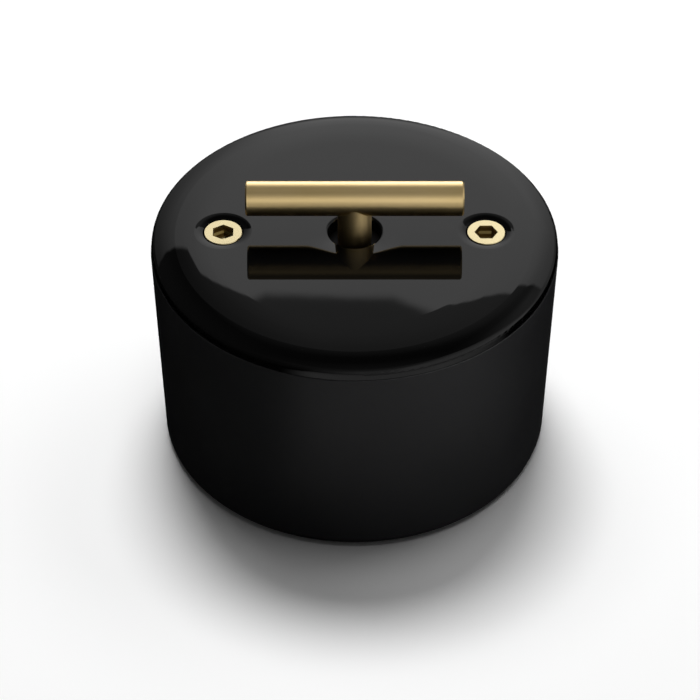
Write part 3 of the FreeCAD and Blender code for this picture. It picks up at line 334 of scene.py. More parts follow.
# %% Satin brass
handle_finishes = {}
for name, stretch in (("bar", (0.02, 1.0, 1.0)), ("stem", (1.0, 1.0, 0.02))):
    satin_brass, tree, shader = new_material("satin_brass_" + name, "#efd49a", 1.0, 0.36)
    place = add(tree, "ShaderNodeTexCoord")
    along = add(
        tree,
        "ShaderNodeMapping",
        {"Scale": stretch},
        {"Vector": place.outputs["Object"]},
    )
    # Lines from 320 grit are about 0.05 mm apart. They are drawn at 0.15 mm so that they show.
    lines = add(
        tree,
        "ShaderNodeTexNoise",
        {"Scale": 1 / (0.15 * MM), "Detail": 2.0, "Roughness": 0.6},
        {"Vector": along.outputs[0]},
    )
    scratched = add(
        tree,
        "ShaderNodeBump",
        {"Distance": 0.004 * MM, "Strength": 0.4},
        {"Height": lines.outputs["Fac"]},
    )
    tree.links.new(scratched.outputs[0], shader.inputs["Normal"])
    rubbed = add(
        tree,
        "ShaderNodeMapRange",
        {"From Min": 0.3, "From Max": 0.7, "To Min": 0.32, "To Max": 0.40},
        {"Value": lines.outputs["Fac"]},
    )
    tree.links.new(rubbed.outputs[0], shader.inputs["Roughness"])
    # Under the lacquer the brass has darkened in slow clouds of about 7 mm.
    clouds = add(
        tree,
        "ShaderNodeTexNoise",
        {"Scale": 1 / (7 * MM), "Detail": 3.0},
        {"Vector": place.outputs["Object"]},
    )
    warm = add(
        tree,
        "ShaderNodeMix",
        {"data_type": "RGBA", 6: linear("#f3d8a0"), 7: linear("#eacc8e")},
        {0: clouds.outputs["Fac"]},
    )
    tree.links.new(warm.outputs[2], shader.inputs["Base Color"])
    handle_finishes[name] = satin_brass
print("handle finishes:", [m.name for m in handle_finishes.values()])

# %% [markdown]
# ## The cover screws: bright brass
#
# The screws are turned and faced on an automatic lathe, and their hexagon sockets are pressed in.
# The facing tool leaves rings on the head, and the sockets' walls get painted shade. The
# rings are a sine of the distance from each screw's axis. Both screws are one piece that is the
# same on the left and the right, so taking X without its sign centres the rings on both.

# %% Bright brass
bright_brass, tree, shader = new_material("bright_machined_brass", "#dccda2", 1.0, 0.16)
low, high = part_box("cover_screws")
screw_axis = (high.x - low.x) / 2 - (high.y - low.y) / 2
head_top = high.z
place = add(tree, "ShaderNodeTexCoord")
axes = add(tree, "ShaderNodeSeparateXYZ", feeds={"Vector": place.outputs["Object"]})
side = add(tree, "ShaderNodeMath", {"operation": "ABSOLUTE"}, {0: axes.outputs["X"]})
from_axis = add(
    tree,
    "ShaderNodeMath",
    {"operation": "SUBTRACT", 1: screw_axis},
    {0: side.outputs[0]},
)
flat = add(tree, "ShaderNodeCombineXYZ", feeds={"X": from_axis.outputs[0], "Y": axes.outputs["Y"]})
off_axis = add(tree, "ShaderNodeVectorMath", {"operation": "LENGTH"}, {0: flat.outputs[0]})
# The tool's feed is about 0.1 mm a turn. It is drawn at 0.25 mm so that it shows.
rings = add(
    tree,
    "ShaderNodeMath",
    {"operation": "MULTIPLY", 1: 2 * math.pi / (0.25 * MM)},
    {0: off_axis.outputs["Value"]},
)
feed = add(tree, "ShaderNodeMath", {"operation": "SINE"}, {0: rings.outputs[0]})
faced = add(
    tree,
    "ShaderNodeBump",
    {"Distance": 0.0006 * MM, "Strength": 0.6},
    {"Height": feed.outputs[0]},
)
tree.links.new(faced.outputs[0], shader.inputs["Normal"])
print("cover screws at x = +/-", round(screw_axis / MM, 2), "mm")

# %% [markdown]
# Painted shade darkens the socket's walls from just below its edge, and stops above its bottom,
# which keeps the plain brass. Two ranges of the height, one for each limit, are multiplied, so the
# painted shade lies only between them.
# Two ranges of the height, one for each limit, are multiplied, so the dirt lies only between them.

# %% Painted shade in the sockets
# Painted shade starts just below the socket's edge.
shade_below_rim = add(
    tree,
    "ShaderNodeMapRange",
    {"From Min": head_top - 0.02 * MM, "From Max": head_top - 0.5 * MM},
    {"Value": axes.outputs["Z"]},
)
# The painted shade stops above the socket's bottom, which keeps the plain brass colour.
worn = add(
    tree,
    "ShaderNodeMapRange",
    {"From Min": head_top - 1.25 * MM, "From Max": head_top - 1.1 * MM},
    {"Value": axes.outputs["Z"]},
)
socket_shade = add(
    tree,
    "ShaderNodeMath",
    {"operation": "MULTIPLY"},
    {0: shade_below_rim.outputs[0], 1: worn.outputs[0]},
)
# Painted shade: the socket's walls are dark brown instead of brass, and a little duller.
brown = add(
    tree,
    "ShaderNodeMix",
    {"data_type": "RGBA", 6: linear("#dccda2"), 7: linear("#8a7040")},
    {0: socket_shade.outputs[0]},
)
tree.links.new(brown.outputs[2], shader.inputs["Base Color"])
dulled = add(
    tree,
    "ShaderNodeMapRange",
    {"To Min": 0.16, "To Max": 0.5},
    {"Value": socket_shade.outputs[0]},
)
tree.links.new(dulled.outputs[0], shader.inputs["Roughness"])
print("screw finish:", bright_brass.name)

# %% [markdown]
# ## Brass and bronze inside
#
# The inserts, the terminals, the rivets, the rotor's segments and the bridge's bearing are cut
# from drawn brass. Drawing through a die leaves long scores, and handling leaves the metal a
# little brown. The springy contact fingers are phosphor bronze strip, redder than brass, with
# fine lines from the rolls. Both start from the same recipe with their own colour and line
# spacing.

# %% Drawn brass and rolled bronze
strip_finishes = {}
for name, bright, dark, roughness, spacing in (
    ("drawn_brass", "#dcbf7c", "#b9964f", 0.28, 0.3),
    ("rolled_phosphor_bronze", "#cf9668", "#a97148", 0.24, 0.2),
):
    metal, tree, shader = new_material(name, bright, 1.0, roughness)
    place = add(tree, "ShaderNodeTexCoord")
    drawn = add(
        tree,
        "ShaderNodeMapping",
        {"Scale": (1.0, 1.0, 0.05)},
        {"Vector": place.outputs["Object"]},
    )
    scores = add(
        tree,
        "ShaderNodeTexNoise",
        {"Scale": 1 / (spacing * MM), "Detail": 2.0},
        {"Vector": drawn.outputs[0]},
    )
    scored = add(
        tree,
        "ShaderNodeBump",
        {"Distance": 0.006 * MM, "Strength": 0.5},
        {"Height": scores.outputs["Fac"]},
    )
    tree.links.new(scored.outputs[0], shader.inputs["Normal"])
    stains = add(
        tree,
        "ShaderNodeTexNoise",
        {"Scale": 1 / (2.5 * MM), "Detail": 4.0, "Distortion": 0.6},
        {"Vector": place.outputs["Object"]},
    )
    patch = add(
        tree,
        "ShaderNodeMapRange",
        {"From Min": 0.45, "From Max": 0.7},
        {"Value": stains.outputs["Fac"]},
    )
    aged = add(
        tree,
        "ShaderNodeMix",
        {"data_type": "RGBA", 6: linear(bright), 7: linear(dark)},
        {0: patch.outputs[0]},
    )
    tree.links.new(aged.outputs[2], shader.inputs["Base Color"])
    worn = add(
        tree,
        "ShaderNodeMapRange",
        {"To Min": roughness, "To Max": roughness + 0.18},
        {"Value": patch.outputs[0]},
    )
    tree.links.new(worn.outputs[0], shader.inputs["Roughness"])
    strip_finishes[name] = metal
drawn_brass = strip_finishes["drawn_brass"]
spring_bronze = strip_finishes["rolled_phosphor_bronze"]
print("metal finishes inside:", sorted(strip_finishes))

# %% [markdown]
# ## Steel inside
#
# The bridge, the spindle, the cam, the washers and the machine screws are steel with bright zinc,
# which grows as fine crystals and looks cloudy and slightly blue. The circlip and the two detent
# springs are hardened strip, tempered to a dark blue-grey. Zinc's clouds come from a Voronoi
# pattern, whose cells meet along edges as crystals do.

# %% Zinc-plated steel
zinc_steel, tree, shader = new_material("zinc_plated_steel", "#b9bdc2", 1.0, 0.3)
place = add(tree, "ShaderNodeTexCoord")
# Crystals of bright zinc are far below 0.1 mm. The clouds they form are about 0.6 mm.
crystals = add(
    tree,
    "ShaderNodeTexVoronoi",
    {"feature": "SMOOTH_F1", "Scale": 1 / (0.6 * MM), "Smoothness": 0.8},
    {"Vector": place.outputs["Object"]},
)
cloudy = add(
    tree,
    "ShaderNodeMapRange",
    {"To Min": 0.24, "To Max": 0.42},
    {"Value": crystals.outputs["Distance"]},
)
tree.links.new(cloudy.outputs[0], shader.inputs["Roughness"])
blue = add(
    tree,
    "ShaderNodeMix",
    {"data_type": "RGBA", 6: linear("#c2c6ca"), 7: linear("#aab0b8")},
    {0: crystals.outputs["Distance"]},
)
tree.links.new(blue.outputs[2], shader.inputs["Base Color"])
plated = add(
    tree,
    "ShaderNodeBump",
    {"Distance": 0.003 * MM, "Strength": 0.4},
    {"Height": crystals.outputs["Distance"]},
)
tree.links.new(plated.outputs[0], shader.inputs["Normal"])
print("steel finish:", zinc_steel.name)

# %% Tempered spring steel
spring_steel, tree, shader = new_material("tempered_spring_steel", "#5d636b", 1.0, 0.3)
place = add(tree, "ShaderNodeTexCoord")
temper = add(
    tree,
    "ShaderNodeTexNoise",
    {"Scale": 1 / (4 * MM), "Detail": 2.0},
    {"Vector": place.outputs["Object"]},
)
heat = add(
    tree,
    "ShaderNodeMix",
    {"data_type": "RGBA", 6: linear("#545b66"), 7: linear("#6f7072")},
    {0: temper.outputs["Fac"]},
)
tree.links.new(heat.outputs[2], shader.inputs["Base Color"])
print("spring finish:", spring_steel.name)

# %% [markdown]
# ## Ceramic and mouldings inside
#
# The base is steatite, a soapstone ceramic pressed dry and fired without glaze: cream, dull and a
# little speckled. The bush is black nylon with the even skin of an injection mould. The rotor is
# brown phenolic, whose wood flour shows as darker flecks drawn out where the powder flowed.

# %% Steatite
steatite, tree, shader = new_material("pressed_steatite", "#dad3c3", 0.0, 0.55)
place = add(tree, "ShaderNodeTexCoord")
specks = add(
    tree,
    "ShaderNodeTexNoise",
    {"Scale": 1 / (0.35 * MM), "Detail": 2.0},
    {"Vector": place.outputs["Object"]},
)
speckled = add(
    tree,
    "ShaderNodeMapRange",
    {"From Min": 0.62, "From Max": 0.72},
    {"Value": specks.outputs["Fac"]},
)
cream = add(
    tree,
    "ShaderNodeMix",
    {"data_type": "RGBA", 6: linear("#ddd6c7"), 7: linear("#b8ab92")},
    {0: speckled.outputs[0]},
)
tree.links.new(cream.outputs[2], shader.inputs["Base Color"])
pressed = add(
    tree,
    "ShaderNodeBump",
    {"Distance": 0.01 * MM, "Strength": 0.6},
    {"Height": specks.outputs["Fac"]},
)
tree.links.new(pressed.outputs[0], shader.inputs["Normal"])
print("ceramic finish:", steatite.name)

# %% Black nylon
black_nylon, tree, shader = new_material("moulded_black_nylon", "#0b0b0c", 0.0, 0.5)
shader.inputs["Specular IOR Level"].default_value = 0.3
place = add(tree, "ShaderNodeTexCoord")
spark = add(
    tree,
    "ShaderNodeTexNoise",
    {"Scale": 1 / (0.2 * MM), "Detail": 1.0},
    {"Vector": place.outputs["Object"]},
)
eroded = add(
    tree,
    "ShaderNodeBump",
    {"Distance": 0.006 * MM, "Strength": 0.5},
    {"Height": spark.outputs["Fac"]},
)
tree.links.new(eroded.outputs[0], shader.inputs["Normal"])
print("bush finish:", black_nylon.name)

# %% Brown phenolic
brown_phenolic, tree, shader = new_material("pressed_brown_phenolic", "#4b2a1c", 0.0, 0.3)
place = add(tree, "ShaderNodeTexCoord")
flecks = add(
    tree,
    "ShaderNodeTexNoise",
    {"Scale": 1 / (1.5 * MM), "Detail": 5.0, "Distortion": 1.5},
    {"Vector": place.outputs["Object"]},
)
drawn_out = add(
    tree,
    "ShaderNodeMapRange",
    {"From Min": 0.42, "From Max": 0.62},
    {"Value": flecks.outputs["Fac"]},
)
wood = add(
    tree,
    "ShaderNodeMix",
    {"data_type": "RGBA", 6: linear("#552f1f"), 7: linear("#2c1811")},
    {0: drawn_out.outputs[0]},
)
tree.links.new(wood.outputs[2], shader.inputs["Base Color"])
print("rotor finish:", brown_phenolic.name)

# %% [markdown]
# ## A finish for every piece
#
# A CAD piece arrives with a material slot for each of its colours. The slots could be filled by
# hand in the editor, but a table keeps all the choices in one place, and a piece that the table
# leaves out shows up in the last line that the cell prints.

# %% Which piece has which finish
finishes = {
    "housing": satin_phenolic,
    "top_cover": black_glaze,
    "cover_screws": bright_brass,
    "dolly_bar": handle_finishes["bar"],
    "dolly_stem": handle_finishes["stem"],
    "cover_bush": black_nylon,
    "stem_washer": zinc_steel,
    "stem_circlip": spring_steel,
    "cover_inserts": drawn_brass,
    "pillar_inserts": drawn_brass,
    "mechanism_base": steatite,
    "bridge": zinc_steel,
    "bridge_bush": drawn_brass,
    "mechanism_screws": zinc_steel,
    "spindle": zinc_steel,
    "thrust_washer": zinc_steel,
    "rotor": brown_phenolic,
    "rotor_contacts": drawn_brass,
    "detent_cam": zinc_steel,
    "detent_springs": spring_steel,
    "contact_springs": spring_bronze,
    "terminal_blocks": drawn_brass,
    "terminal_screws": zinc_steel,
    "terminal_rivets": drawn_brass,
}
for name, material in finishes.items():
    for slot in nodes[name].material_slots:
        slot.material = material
print("pieces finished:", len(finishes), "left over:", sorted(set(nodes) - set(finishes)))

# %% [markdown]
# ## Screw threads and knurls
#
# The solids' screws and inserts are plain, and the real ones are covered with small ridges, each
# like the next. Geometry Nodes make such a ridge once and repeat it. Both trees below put their
# piece on a grid of places, so what they share, their inputs and the grid, is made by two
# functions.


# %% What the two trees share
def new_tree(name, lengths, places, counts):
    """A geometry tree with these named inputs, a material and a geometry output; and its inputs."""
    tree = bpy.data.node_groups.new(name, "GeometryNodeTree")
    tree.interface.new_socket("Geometry", in_out="OUTPUT", socket_type="NodeSocketGeometry")
    for kind, labels in (
        ("NodeSocketFloat", lengths),
        ("NodeSocketVector", places),
        ("NodeSocketInt", counts),
        ("NodeSocketMaterial", ("Material",)),
    ):
        for label in labels:
            tree.interface.new_socket(label, in_out="INPUT", socket_type=kind)
    return tree, add(tree, "NodeGroupInput").outputs


def put_on_grid(tree, given, piece):
    """Puts a piece on Count by Rows places, makes the copies real and gives them their material."""
    across = add(
        tree,
        "GeometryNodeMeshLine",
        {"mode": "OFFSET"},
        {"Count": given["Count"], "Start Location": given["First"], "Offset": given["Step"]},
    )
    down = add(
        tree,
        "GeometryNodeMeshLine",
        {"mode": "OFFSET"},
        {"Count": given["Rows"], "Offset": given["Row"]},
    )
    rows = add(
        tree,
        "GeometryNodeInstanceOnPoints",
        feeds={"Points": down.outputs[0], "Instance": across.outputs[0]},
    )
    places = add(tree, "GeometryNodeRealizeInstances", feeds={"Geometry": rows.outputs[0]})
    copies = add(
        tree,
        "GeometryNodeInstanceOnPoints",
        feeds={"Points": places.outputs[0], "Instance": piece},
    )
    real = add(tree, "GeometryNodeRealizeInstances", feeds={"Geometry": copies.outputs[0]})
    painted = add(
        tree,
        "GeometryNodeSetMaterial",
        feeds={"Geometry": real.outputs[0], "Material": given["Material"]},
    )
    add(tree, "NodeGroupOutput", feeds={"Geometry": painted.outputs[0]})


print("a grid has the places First + Step * i + Row * j")

# %% [markdown]
# A screw's thread is one ridge wound round its shank. A curve that climbs in a spiral is the path,
# a small triangle is the ridge's section, and Curve to Mesh sweeps one along the other. A Screw
# modifier could do it too, but it would have to be set again for each screw.

# %% Thread tree
thread_tree, given = new_tree(
    "wound_thread",
    ("Shank Radius", "Pitch", "Ridge", "Length"),
    ("First", "Step", "Row"),
    ("Count", "Rows"),
)
turns = add(
    thread_tree,
    "ShaderNodeMath",
    {"operation": "DIVIDE"},
    {0: given["Length"], 1: given["Pitch"]},
)
spiral = add(
    thread_tree,
    "GeometryNodeCurveSpiral",
    {"Resolution": 20},
    {
        "Rotations": turns.outputs[0],
        "Start Radius": given["Shank Radius"],
        "End Radius": given["Shank Radius"],
        "Height": given["Length"],
    },
)
upright = add(
    thread_tree,
    "GeometryNodeSetCurveNormal",
    {"mode": "Z_UP"},
    {"Curve": spiral.outputs[0]},
)
section = add(
    thread_tree,
    "GeometryNodeCurvePrimitiveCircle",
    {"Resolution": 3},
    {"Radius": given["Ridge"]},
)
ridge = add(
    thread_tree,
    "GeometryNodeCurveToMesh",
    {"Fill Caps": True},
    {"Curve": upright.outputs[0], "Profile Curve": section.outputs[0]},
)
put_on_grid(thread_tree, given, ridge.outputs[0])
print("nodes in the thread tree:", len(thread_tree.nodes))

# %% [markdown]
# A modifier runs a tree on an object. Its inputs are stored under each socket's identifier, so one
# function looks the identifiers up by name, runs the tree, keeps the result as a plain mesh and
# throws the modifier away.


# %% Turn a tree into a piece
def grown(name, tree, inputs):
    """A plain mesh object from a geometry tree with these named inputs."""
    seed = bpy.data.objects.new(name + "_seed", bpy.data.meshes.new(name + "_seed"))
    bpy.context.scene.collection.objects.link(seed)
    modifier = seed.modifiers.new("tree", "NODES")
    modifier.node_group = tree
    for item in tree.interface.items_tree:
        if item.in_out == "INPUT" and item.name in inputs:
            modifier[item.identifier] = inputs[item.name]
    evaluated = seed.evaluated_get(bpy.context.evaluated_depsgraph_get())
    mesh = bpy.data.meshes.new_from_object(evaluated)
    seed.modifiers.remove(modifier)
    bpy.data.objects.remove(seed)
    mesh.name = name
    piece = bpy.data.objects.new(name, mesh)
    bpy.context.scene.collection.objects.link(piece)
    print(name, "has", len(mesh.polygons), "faces")
    return piece


# %% [markdown]
# The cover screws are M4, the mechanism screws M3 and the clamp screws M2.5, each with its coarse
# pitch. A set's place is read from its own piece, so the ridges stay on the shanks when the CAD
# sizes change. The three sets could each have their own tree, but only the numbers differ.

# %% Threads of the cover screws
low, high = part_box("cover_screws")
cover_threads = grown(
    "cover_screw_threads",
    thread_tree,
    {
        "Shank Radius": 2.0 * MM,
        "Pitch": 0.7 * MM,
        "Ridge": 0.2 * MM,
        "Length": 7.0 * MM,
        "First": (-screw_axis, 0.0, low.z + 0.6 * MM),
        "Step": (2 * screw_axis, 0.0, 0.0),
        "Row": (0.0, 0.0, 0.0),
        "Count": 2,
        "Rows": 1,
        "Material": bright_brass,
    },
)
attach(cover_threads, "housing")

# %% Threads of the mechanism screws
low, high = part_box("mechanism_screws")
fixing_axis = (high.y - low.y) / 2 - (high.x - low.x) / 2
fixing_threads = grown(
    "mechanism_screw_threads",
    thread_tree,
    {
        "Shank Radius": 1.45 * MM,
        "Pitch": 0.5 * MM,
        "Ridge": 0.15 * MM,
        "Length": 6.0 * MM,
        "First": (0.0, -fixing_axis, low.z + 0.4 * MM),
        "Step": (0.0, 2 * fixing_axis, 0.0),
        "Row": (0.0, 0.0, 0.0),
        "Count": 2,
        "Rows": 1,
        "Material": zinc_steel,
    },
)
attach(fixing_threads, "housing")

# %% Threads of the clamp screws
low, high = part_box("terminal_screws")
clamp_head_radius = 2.1 * MM
clamp_axis = (high.x - low.x) / 2 - clamp_head_radius
clamp_threads = grown(
    "clamp_screw_threads",
    thread_tree,
    {
        "Shank Radius": 1.15 * MM,
        "Pitch": 0.45 * MM,
        "Ridge": 0.13 * MM,
        "Length": 2.0 * MM,
        "First": (-clamp_axis, -clamp_axis, low.z + 0.3 * MM),
        "Step": (2 * clamp_axis, 0.0, 0.0),
        "Row": (0.0, 2 * clamp_axis, 0.0),
        "Count": 2,
        "Rows": 2,
        "Material": zinc_steel,
    },
)
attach(clamp_threads, "housing")

# %% [markdown]
# The threaded inserts are moulded into the drum. A knurl rolled on their outside, a ring of small
# upright ridges, keeps them from turning when a screw is tightened. A circle gives the places, a
# three-sided prism is one ridge, and each band of ridges is put where an insert stands.

# %% Knurl tree
knurl_tree, given = new_tree(
    "knurled_bands",
    ("Radius", "Ridge", "Length"),
    ("First", "Step", "Row"),
    ("Teeth", "Count", "Rows"),
)
circle = add(
    knurl_tree,
    "GeometryNodeCurvePrimitiveCircle",
    feeds={"Resolution": given["Teeth"], "Radius": given["Radius"]},
)
prism = add(
    knurl_tree,
    "GeometryNodeMeshCylinder",
    {"Vertices": 3},
    {"Radius": given["Ridge"], "Depth": given["Length"]},
)
marks = add(
    knurl_tree,
    "GeometryNodeCurveToPoints",
    {"mode": "EVALUATED"},
    {"Curve": circle.outputs[0]},
)
outwards = add(knurl_tree, "GeometryNodeInputPosition")
facing = add(
    knurl_tree,
    "FunctionNodeAlignRotationToVector",
    {"axis": "X", "pivot_axis": "Z"},
    {"Vector": outwards.outputs[0]},
)
band = add(
    knurl_tree,
    "GeometryNodeInstanceOnPoints",
    feeds={
        "Points": marks.outputs["Points"],
        "Instance": prism.outputs[0],
        "Rotation": facing.outputs[0],
    },
)
put_on_grid(knurl_tree, given, band.outputs[0])
print("nodes in the knurl tree:", len(knurl_tree.nodes))

# %% [markdown]
# The cover's inserts stand left and right of the middle, the pillars' above and below it. Two
# bands on each insert leave a plain groove between them, which the plastic fills. Radius, height
# and place are read from the inserts themselves.

# %% Knurls of the inserts
for owner, label, side in (
    ("cover_inserts", "cover_insert_knurls", 0),
    ("pillar_inserts", "pillar_insert_knurls", 1),
):
    low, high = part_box(owner)
    radius = (high[1 - side] - low[1 - side]) / 2
    offset = (high[side] - low[side]) / 2 - radius
    height = high.z - low.z
    first = [0.0, 0.0, low.z + 0.25 * height]
    step = [0.0, 0.0, 0.0]
    first[side] = -offset
    step[side] = 2 * offset
    knurls = grown(
        label,
        knurl_tree,
        {
            "Radius": radius - 0.02 * MM,
            "Ridge": 0.16 * MM,
            "Length": 0.36 * height,
            "Teeth": 32,
            "First": first,
            "Step": step,
            "Row": (0.0, 0.0, 0.5 * height),
            "Count": 2,
            "Rows": 2,
            "Material": drawn_brass,
        },
    )
    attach(knurls, "housing")

# %% [markdown]
# ## Floor
#
# The switch stands on matte white paper, which takes its soft shadow. A plane is enough for it.
# White paper throws back nearly all light and has no gloss of its own.

# %% Floor
# A hundredth of a millimetre keeps the paper from lying in the same plane as the drum's foot.
bpy.ops.mesh.primitive_plane_add(size=6.0, location=(0.0, 0.0, -0.01 * MM))
floor = bpy.context.object
floor.name = "floor"
white_paper, tree, shader = new_material("matte_white_paper", "#fcfcfc", 0.0, 1.0)
shader.inputs["Specular IOR Level"].default_value = 0.0
place = add(tree, "ShaderNodeTexCoord")
axes = add(tree, "ShaderNodeSeparateXYZ", feeds={"Vector": place.outputs["Object"]})
from_axis = add(
    tree,
    "ShaderNodeVectorMath",
    {"operation": "LENGTH"},
    {0: place.outputs["Object"]},
)
ray = add(tree, "ShaderNodeLightPath")
floor.data.materials.append(white_paper)
print("floor:", white_paper.name)

# %% [markdown]
# In a studio, black and grey cards beside a shiny black object keep the white paper out of its
# sides, so that its edge stays dark on the left and softly lit on the right. Real cards would
# also stand in the picture and throw shadows. Here the cards are painted shade on the paper, and
# Light Path's Is Glossy Ray shows that painted shade only to what is mirrored.

# %% Painted shade on the mirrored paper
# Painted shade: mirrored paper shows best from 60 mm in front of the axis on, not beside the
# switch.
towards = add(
    tree,
    "ShaderNodeMapRange",
    {"From Min": -18 * MM, "From Max": -60 * MM, "To Min": 0.0, "To Max": 0.7},
    {"Value": axes.outputs["Y"]},
)
# Painted shade stands in for a black card that hides its left, along a line turned by 20 degrees.
turned = add(
    tree,
    "ShaderNodeMapping",
    {"Rotation": (0.0, 0.0, math.radians(20))},
    {"Vector": place.outputs["Object"]},
)
across = add(tree, "ShaderNodeSeparateXYZ", feeds={"Vector": turned.outputs[0]})
beside = add(
    tree,
    "ShaderNodeMapRange",
    {"interpolation_type": "SMOOTHSTEP", "From Min": -18 * MM, "From Max": 6 * MM},
    {"Value": across.outputs["X"]},
)
# A painted shadow: the mirrored paper close to the foot is darkened as the switch's own shade.
shaded = add(
    tree,
    "ShaderNodeMapRange",
    {"interpolation_type": "SMOOTHSTEP", "From Min": 40 * MM, "From Max": 62 * MM},
    {"Value": from_axis.outputs["Value"]},
)
# The three masks of painted shade, which stand in for cards, are multiplied.
cards = (towards, beside, shaded)
left_over = towards
for card in cards[1:]:
    left_over = add(
        tree,
        "ShaderNodeMath",
        {"operation": "MULTIPLY"},
        {0: left_over.outputs[0], 1: card.outputs[0]},
    )
# Only mirrored rays see the paper's painted shade; all other rays see it white.
seen = add(
    tree,
    "ShaderNodeMix",
    {"data_type": "RGBA", 6: linear("#fcfcfc")},
    {0: ray.outputs["Is Glossy Ray"], 7: left_over.outputs[0]},
)
tree.links.new(seen.outputs[2], shader.inputs["Base Color"])
print("cards that shade the mirrored paper:", len(cards))

# %% [markdown]
# Seen from the side, the paper runs far back, where the lamps don't reach it and it would turn
# grey. Bigger lamps would light it, and would wash out the shadow too. So the camera sees it
# plain white there.

# %% The paper far away
far = add(
    tree,
    "ShaderNodeMapRange",
    {"interpolation_type": "SMOOTHSTEP", "From Min": 150 * MM, "From Max": 400 * MM},
    {"Value": from_axis.outputs["Value"]},
)
looking = add(
    tree,
    "ShaderNodeMath",
    {"operation": "MAXIMUM"},
    {0: ray.outputs["Is Camera Ray"], 1: ray.outputs["Is Transmission Ray"]},
)
distant = add(
    tree,
    "ShaderNodeMath",
    {"operation": "MULTIPLY"},
    {0: far.outputs[0], 1: looking.outputs[0]},
)
plain = add(tree, "ShaderNodeEmission", {"Color": linear("#ffffff"), "Strength": 1.0})
paper = add(
    tree,
    "ShaderNodeMixShader",
    feeds={0: distant.outputs[0], 1: shader.outputs[0], 2: plain.outputs[0]},
)
tree.links.new(paper.outputs[0], tree.nodes["Material Output"].inputs["Surface"])
print("nodes in the paper:", len(tree.nodes))

# %% [markdown]
# ## The studio that the glaze mirrors
#
# A glossy black surface shows no colour of its own, only the room. The flat of the cover mirrors
# the room behind it, its rounded edge mirrors the ceiling and then the front. A picture of a real
# studio could be used, but this room is drawn from a few soft-edged panels, so that each can be
# moved by itself. The simplest limits of a panel are smooth steps along X, Y or Z of the
# direction.

# %% World
world = bpy.data.worlds.new("studio")
bpy.context.scene.world = world
world.use_nodes = True
tree = world.node_tree
tree.nodes.clear()
direction = add(tree, "ShaderNodeTexCoord")
axes = add(tree, "ShaderNodeSeparateXYZ", feeds={"Vector": direction.outputs["Generated"]})
print("world:", world.name)

# %% Smooth steps
# For each step its axis, where it starts and where it is full.
steps = {
    "behind": ("Y", 0.0, 0.15),
    "in_front": ("Y", 0.3, 0.0),
    "beside": ("Y", 0.76, 0.5),
    "not_far_left": ("X", -0.5, 0.1),
    "far_left": ("X", -0.1, -0.5),
    "below_ceiling": ("Z", 0.92, 0.7),
}
factor = {}
for label, (axis, start, full) in steps.items():
    step = add(
        tree,
        "ShaderNodeMapRange",
        {"interpolation_type": "SMOOTHSTEP", "From Min": start, "From Max": full},
        {"Value": axes.outputs[axis]},
    )
    factor[label] = step.outputs[0]
print("smooth steps:", sorted(steps))

# %% [markdown]
# Smooth steps are enough where a panel simply starts or ends. The backdrop's top edge climbs and
# falls like a skyline, and some panels fade in several stages. A colour ramp draws such a line
# from a few points, which is easier to read and to change than a chain of steps.

# %% Profiles
# For each profile its axis, and points on it with their levels. Each point of the glaze mirrors
# one direction of the studio. A separate program worked out the skyline's points from where the
# mirrored edge lies in the photograph, and a few of them were moved by hand. The light that the
# photographed glaze mirrors from each side was worked out too. The other levels follow from that,
# and were changed until the render came close.
profiles = {
    "skyline": ("X", (
        (-0.465, 0.572), (-0.39, 0.59), (-0.274, 0.622), (-0.164, 0.637), (-0.129, 0.643),
        (-0.119, 0.667), (-0.105, 0.671), (-0.072, 0.666), (-0.05, 0.658), (-0.033, 0.6505),
        (0.016, 0.6515), (0.034, 0.657), (0.052, 0.668), (0.072, 0.680), (0.102, 0.690),
        (0.146, 0.699), (0.309, 0.708), (0.436, 0.681), (0.521, 0.656), (0.78, 0.5),
    )),
    "backdrop_across": ("X", (
        (-0.62, 0.0), (-0.45, 0.2), (-0.28, 0.5), (-0.16, 0.8), (-0.06, 1.0), (0.24, 1.0),
        (0.40, 0.78), (0.49, 0.55), (0.61, 0.3), (0.84, 0.1),
    )),
    "backdrop_up": ("Z", ((0.03, 0.0), (0.09, 0.45), (0.5, 1.0))),
    "ceiling_across": ("X", ((-0.2, 0.0), (-0.03, 1.0), (0.12, 1.0), (0.4, 0.25), (0.8, 0.15))),
    "right_across": ("X", (
        (0.28, 0.0), (0.36, 0.06), (0.45, 0.3), (0.65, 0.34), (0.85, 0.36), (0.95, 0.5),
    )),
    "front_up": ("Z", (
        (-0.1, 0.3), (0.02, 0.5), (0.28, 0.62), (0.48, 0.64), (0.68, 0.54), (0.84, 0.36),
        (0.95, 0.26), (0.99, 0.2),
    )),
}
along = {}
for axis in ("X", "Z"):
    run = add(
        tree,
        "ShaderNodeMapRange",
        {"From Min": -1.0, "From Max": 1.0},
        {"Value": axes.outputs[axis]},
    )
    along[axis] = run.outputs[0]
for label, (axis, stops) in profiles.items():
    ramp = add(tree, "ShaderNodeValToRGB", feeds={"Fac": along[axis]})
    for where, level in stops:
        stop = ramp.color_ramp.elements.new((where + 1) / 2)
        stop.color = (level, level, level, 1.0)
    # A new ramp comes with a black and a white end, which aren't wanted.
    ramp.color_ramp.elements.remove(ramp.color_ramp.elements[0])
    ramp.color_ramp.elements.remove(ramp.color_ramp.elements[-1])
    factor[label] = ramp.outputs["Color"]
print("profiles:", {label: len(stops) for label, (axis, stops) in profiles.items()})

# %% [markdown]
# The most visible line in the glaze is the mirrored top edge of the backdrop. A plain comparison
# of height and skyline would cut it as sharply as a knife. A map range whose two limits lie a
# little apart fades it instead, and letting their distance grow to the sides blurs the ends.

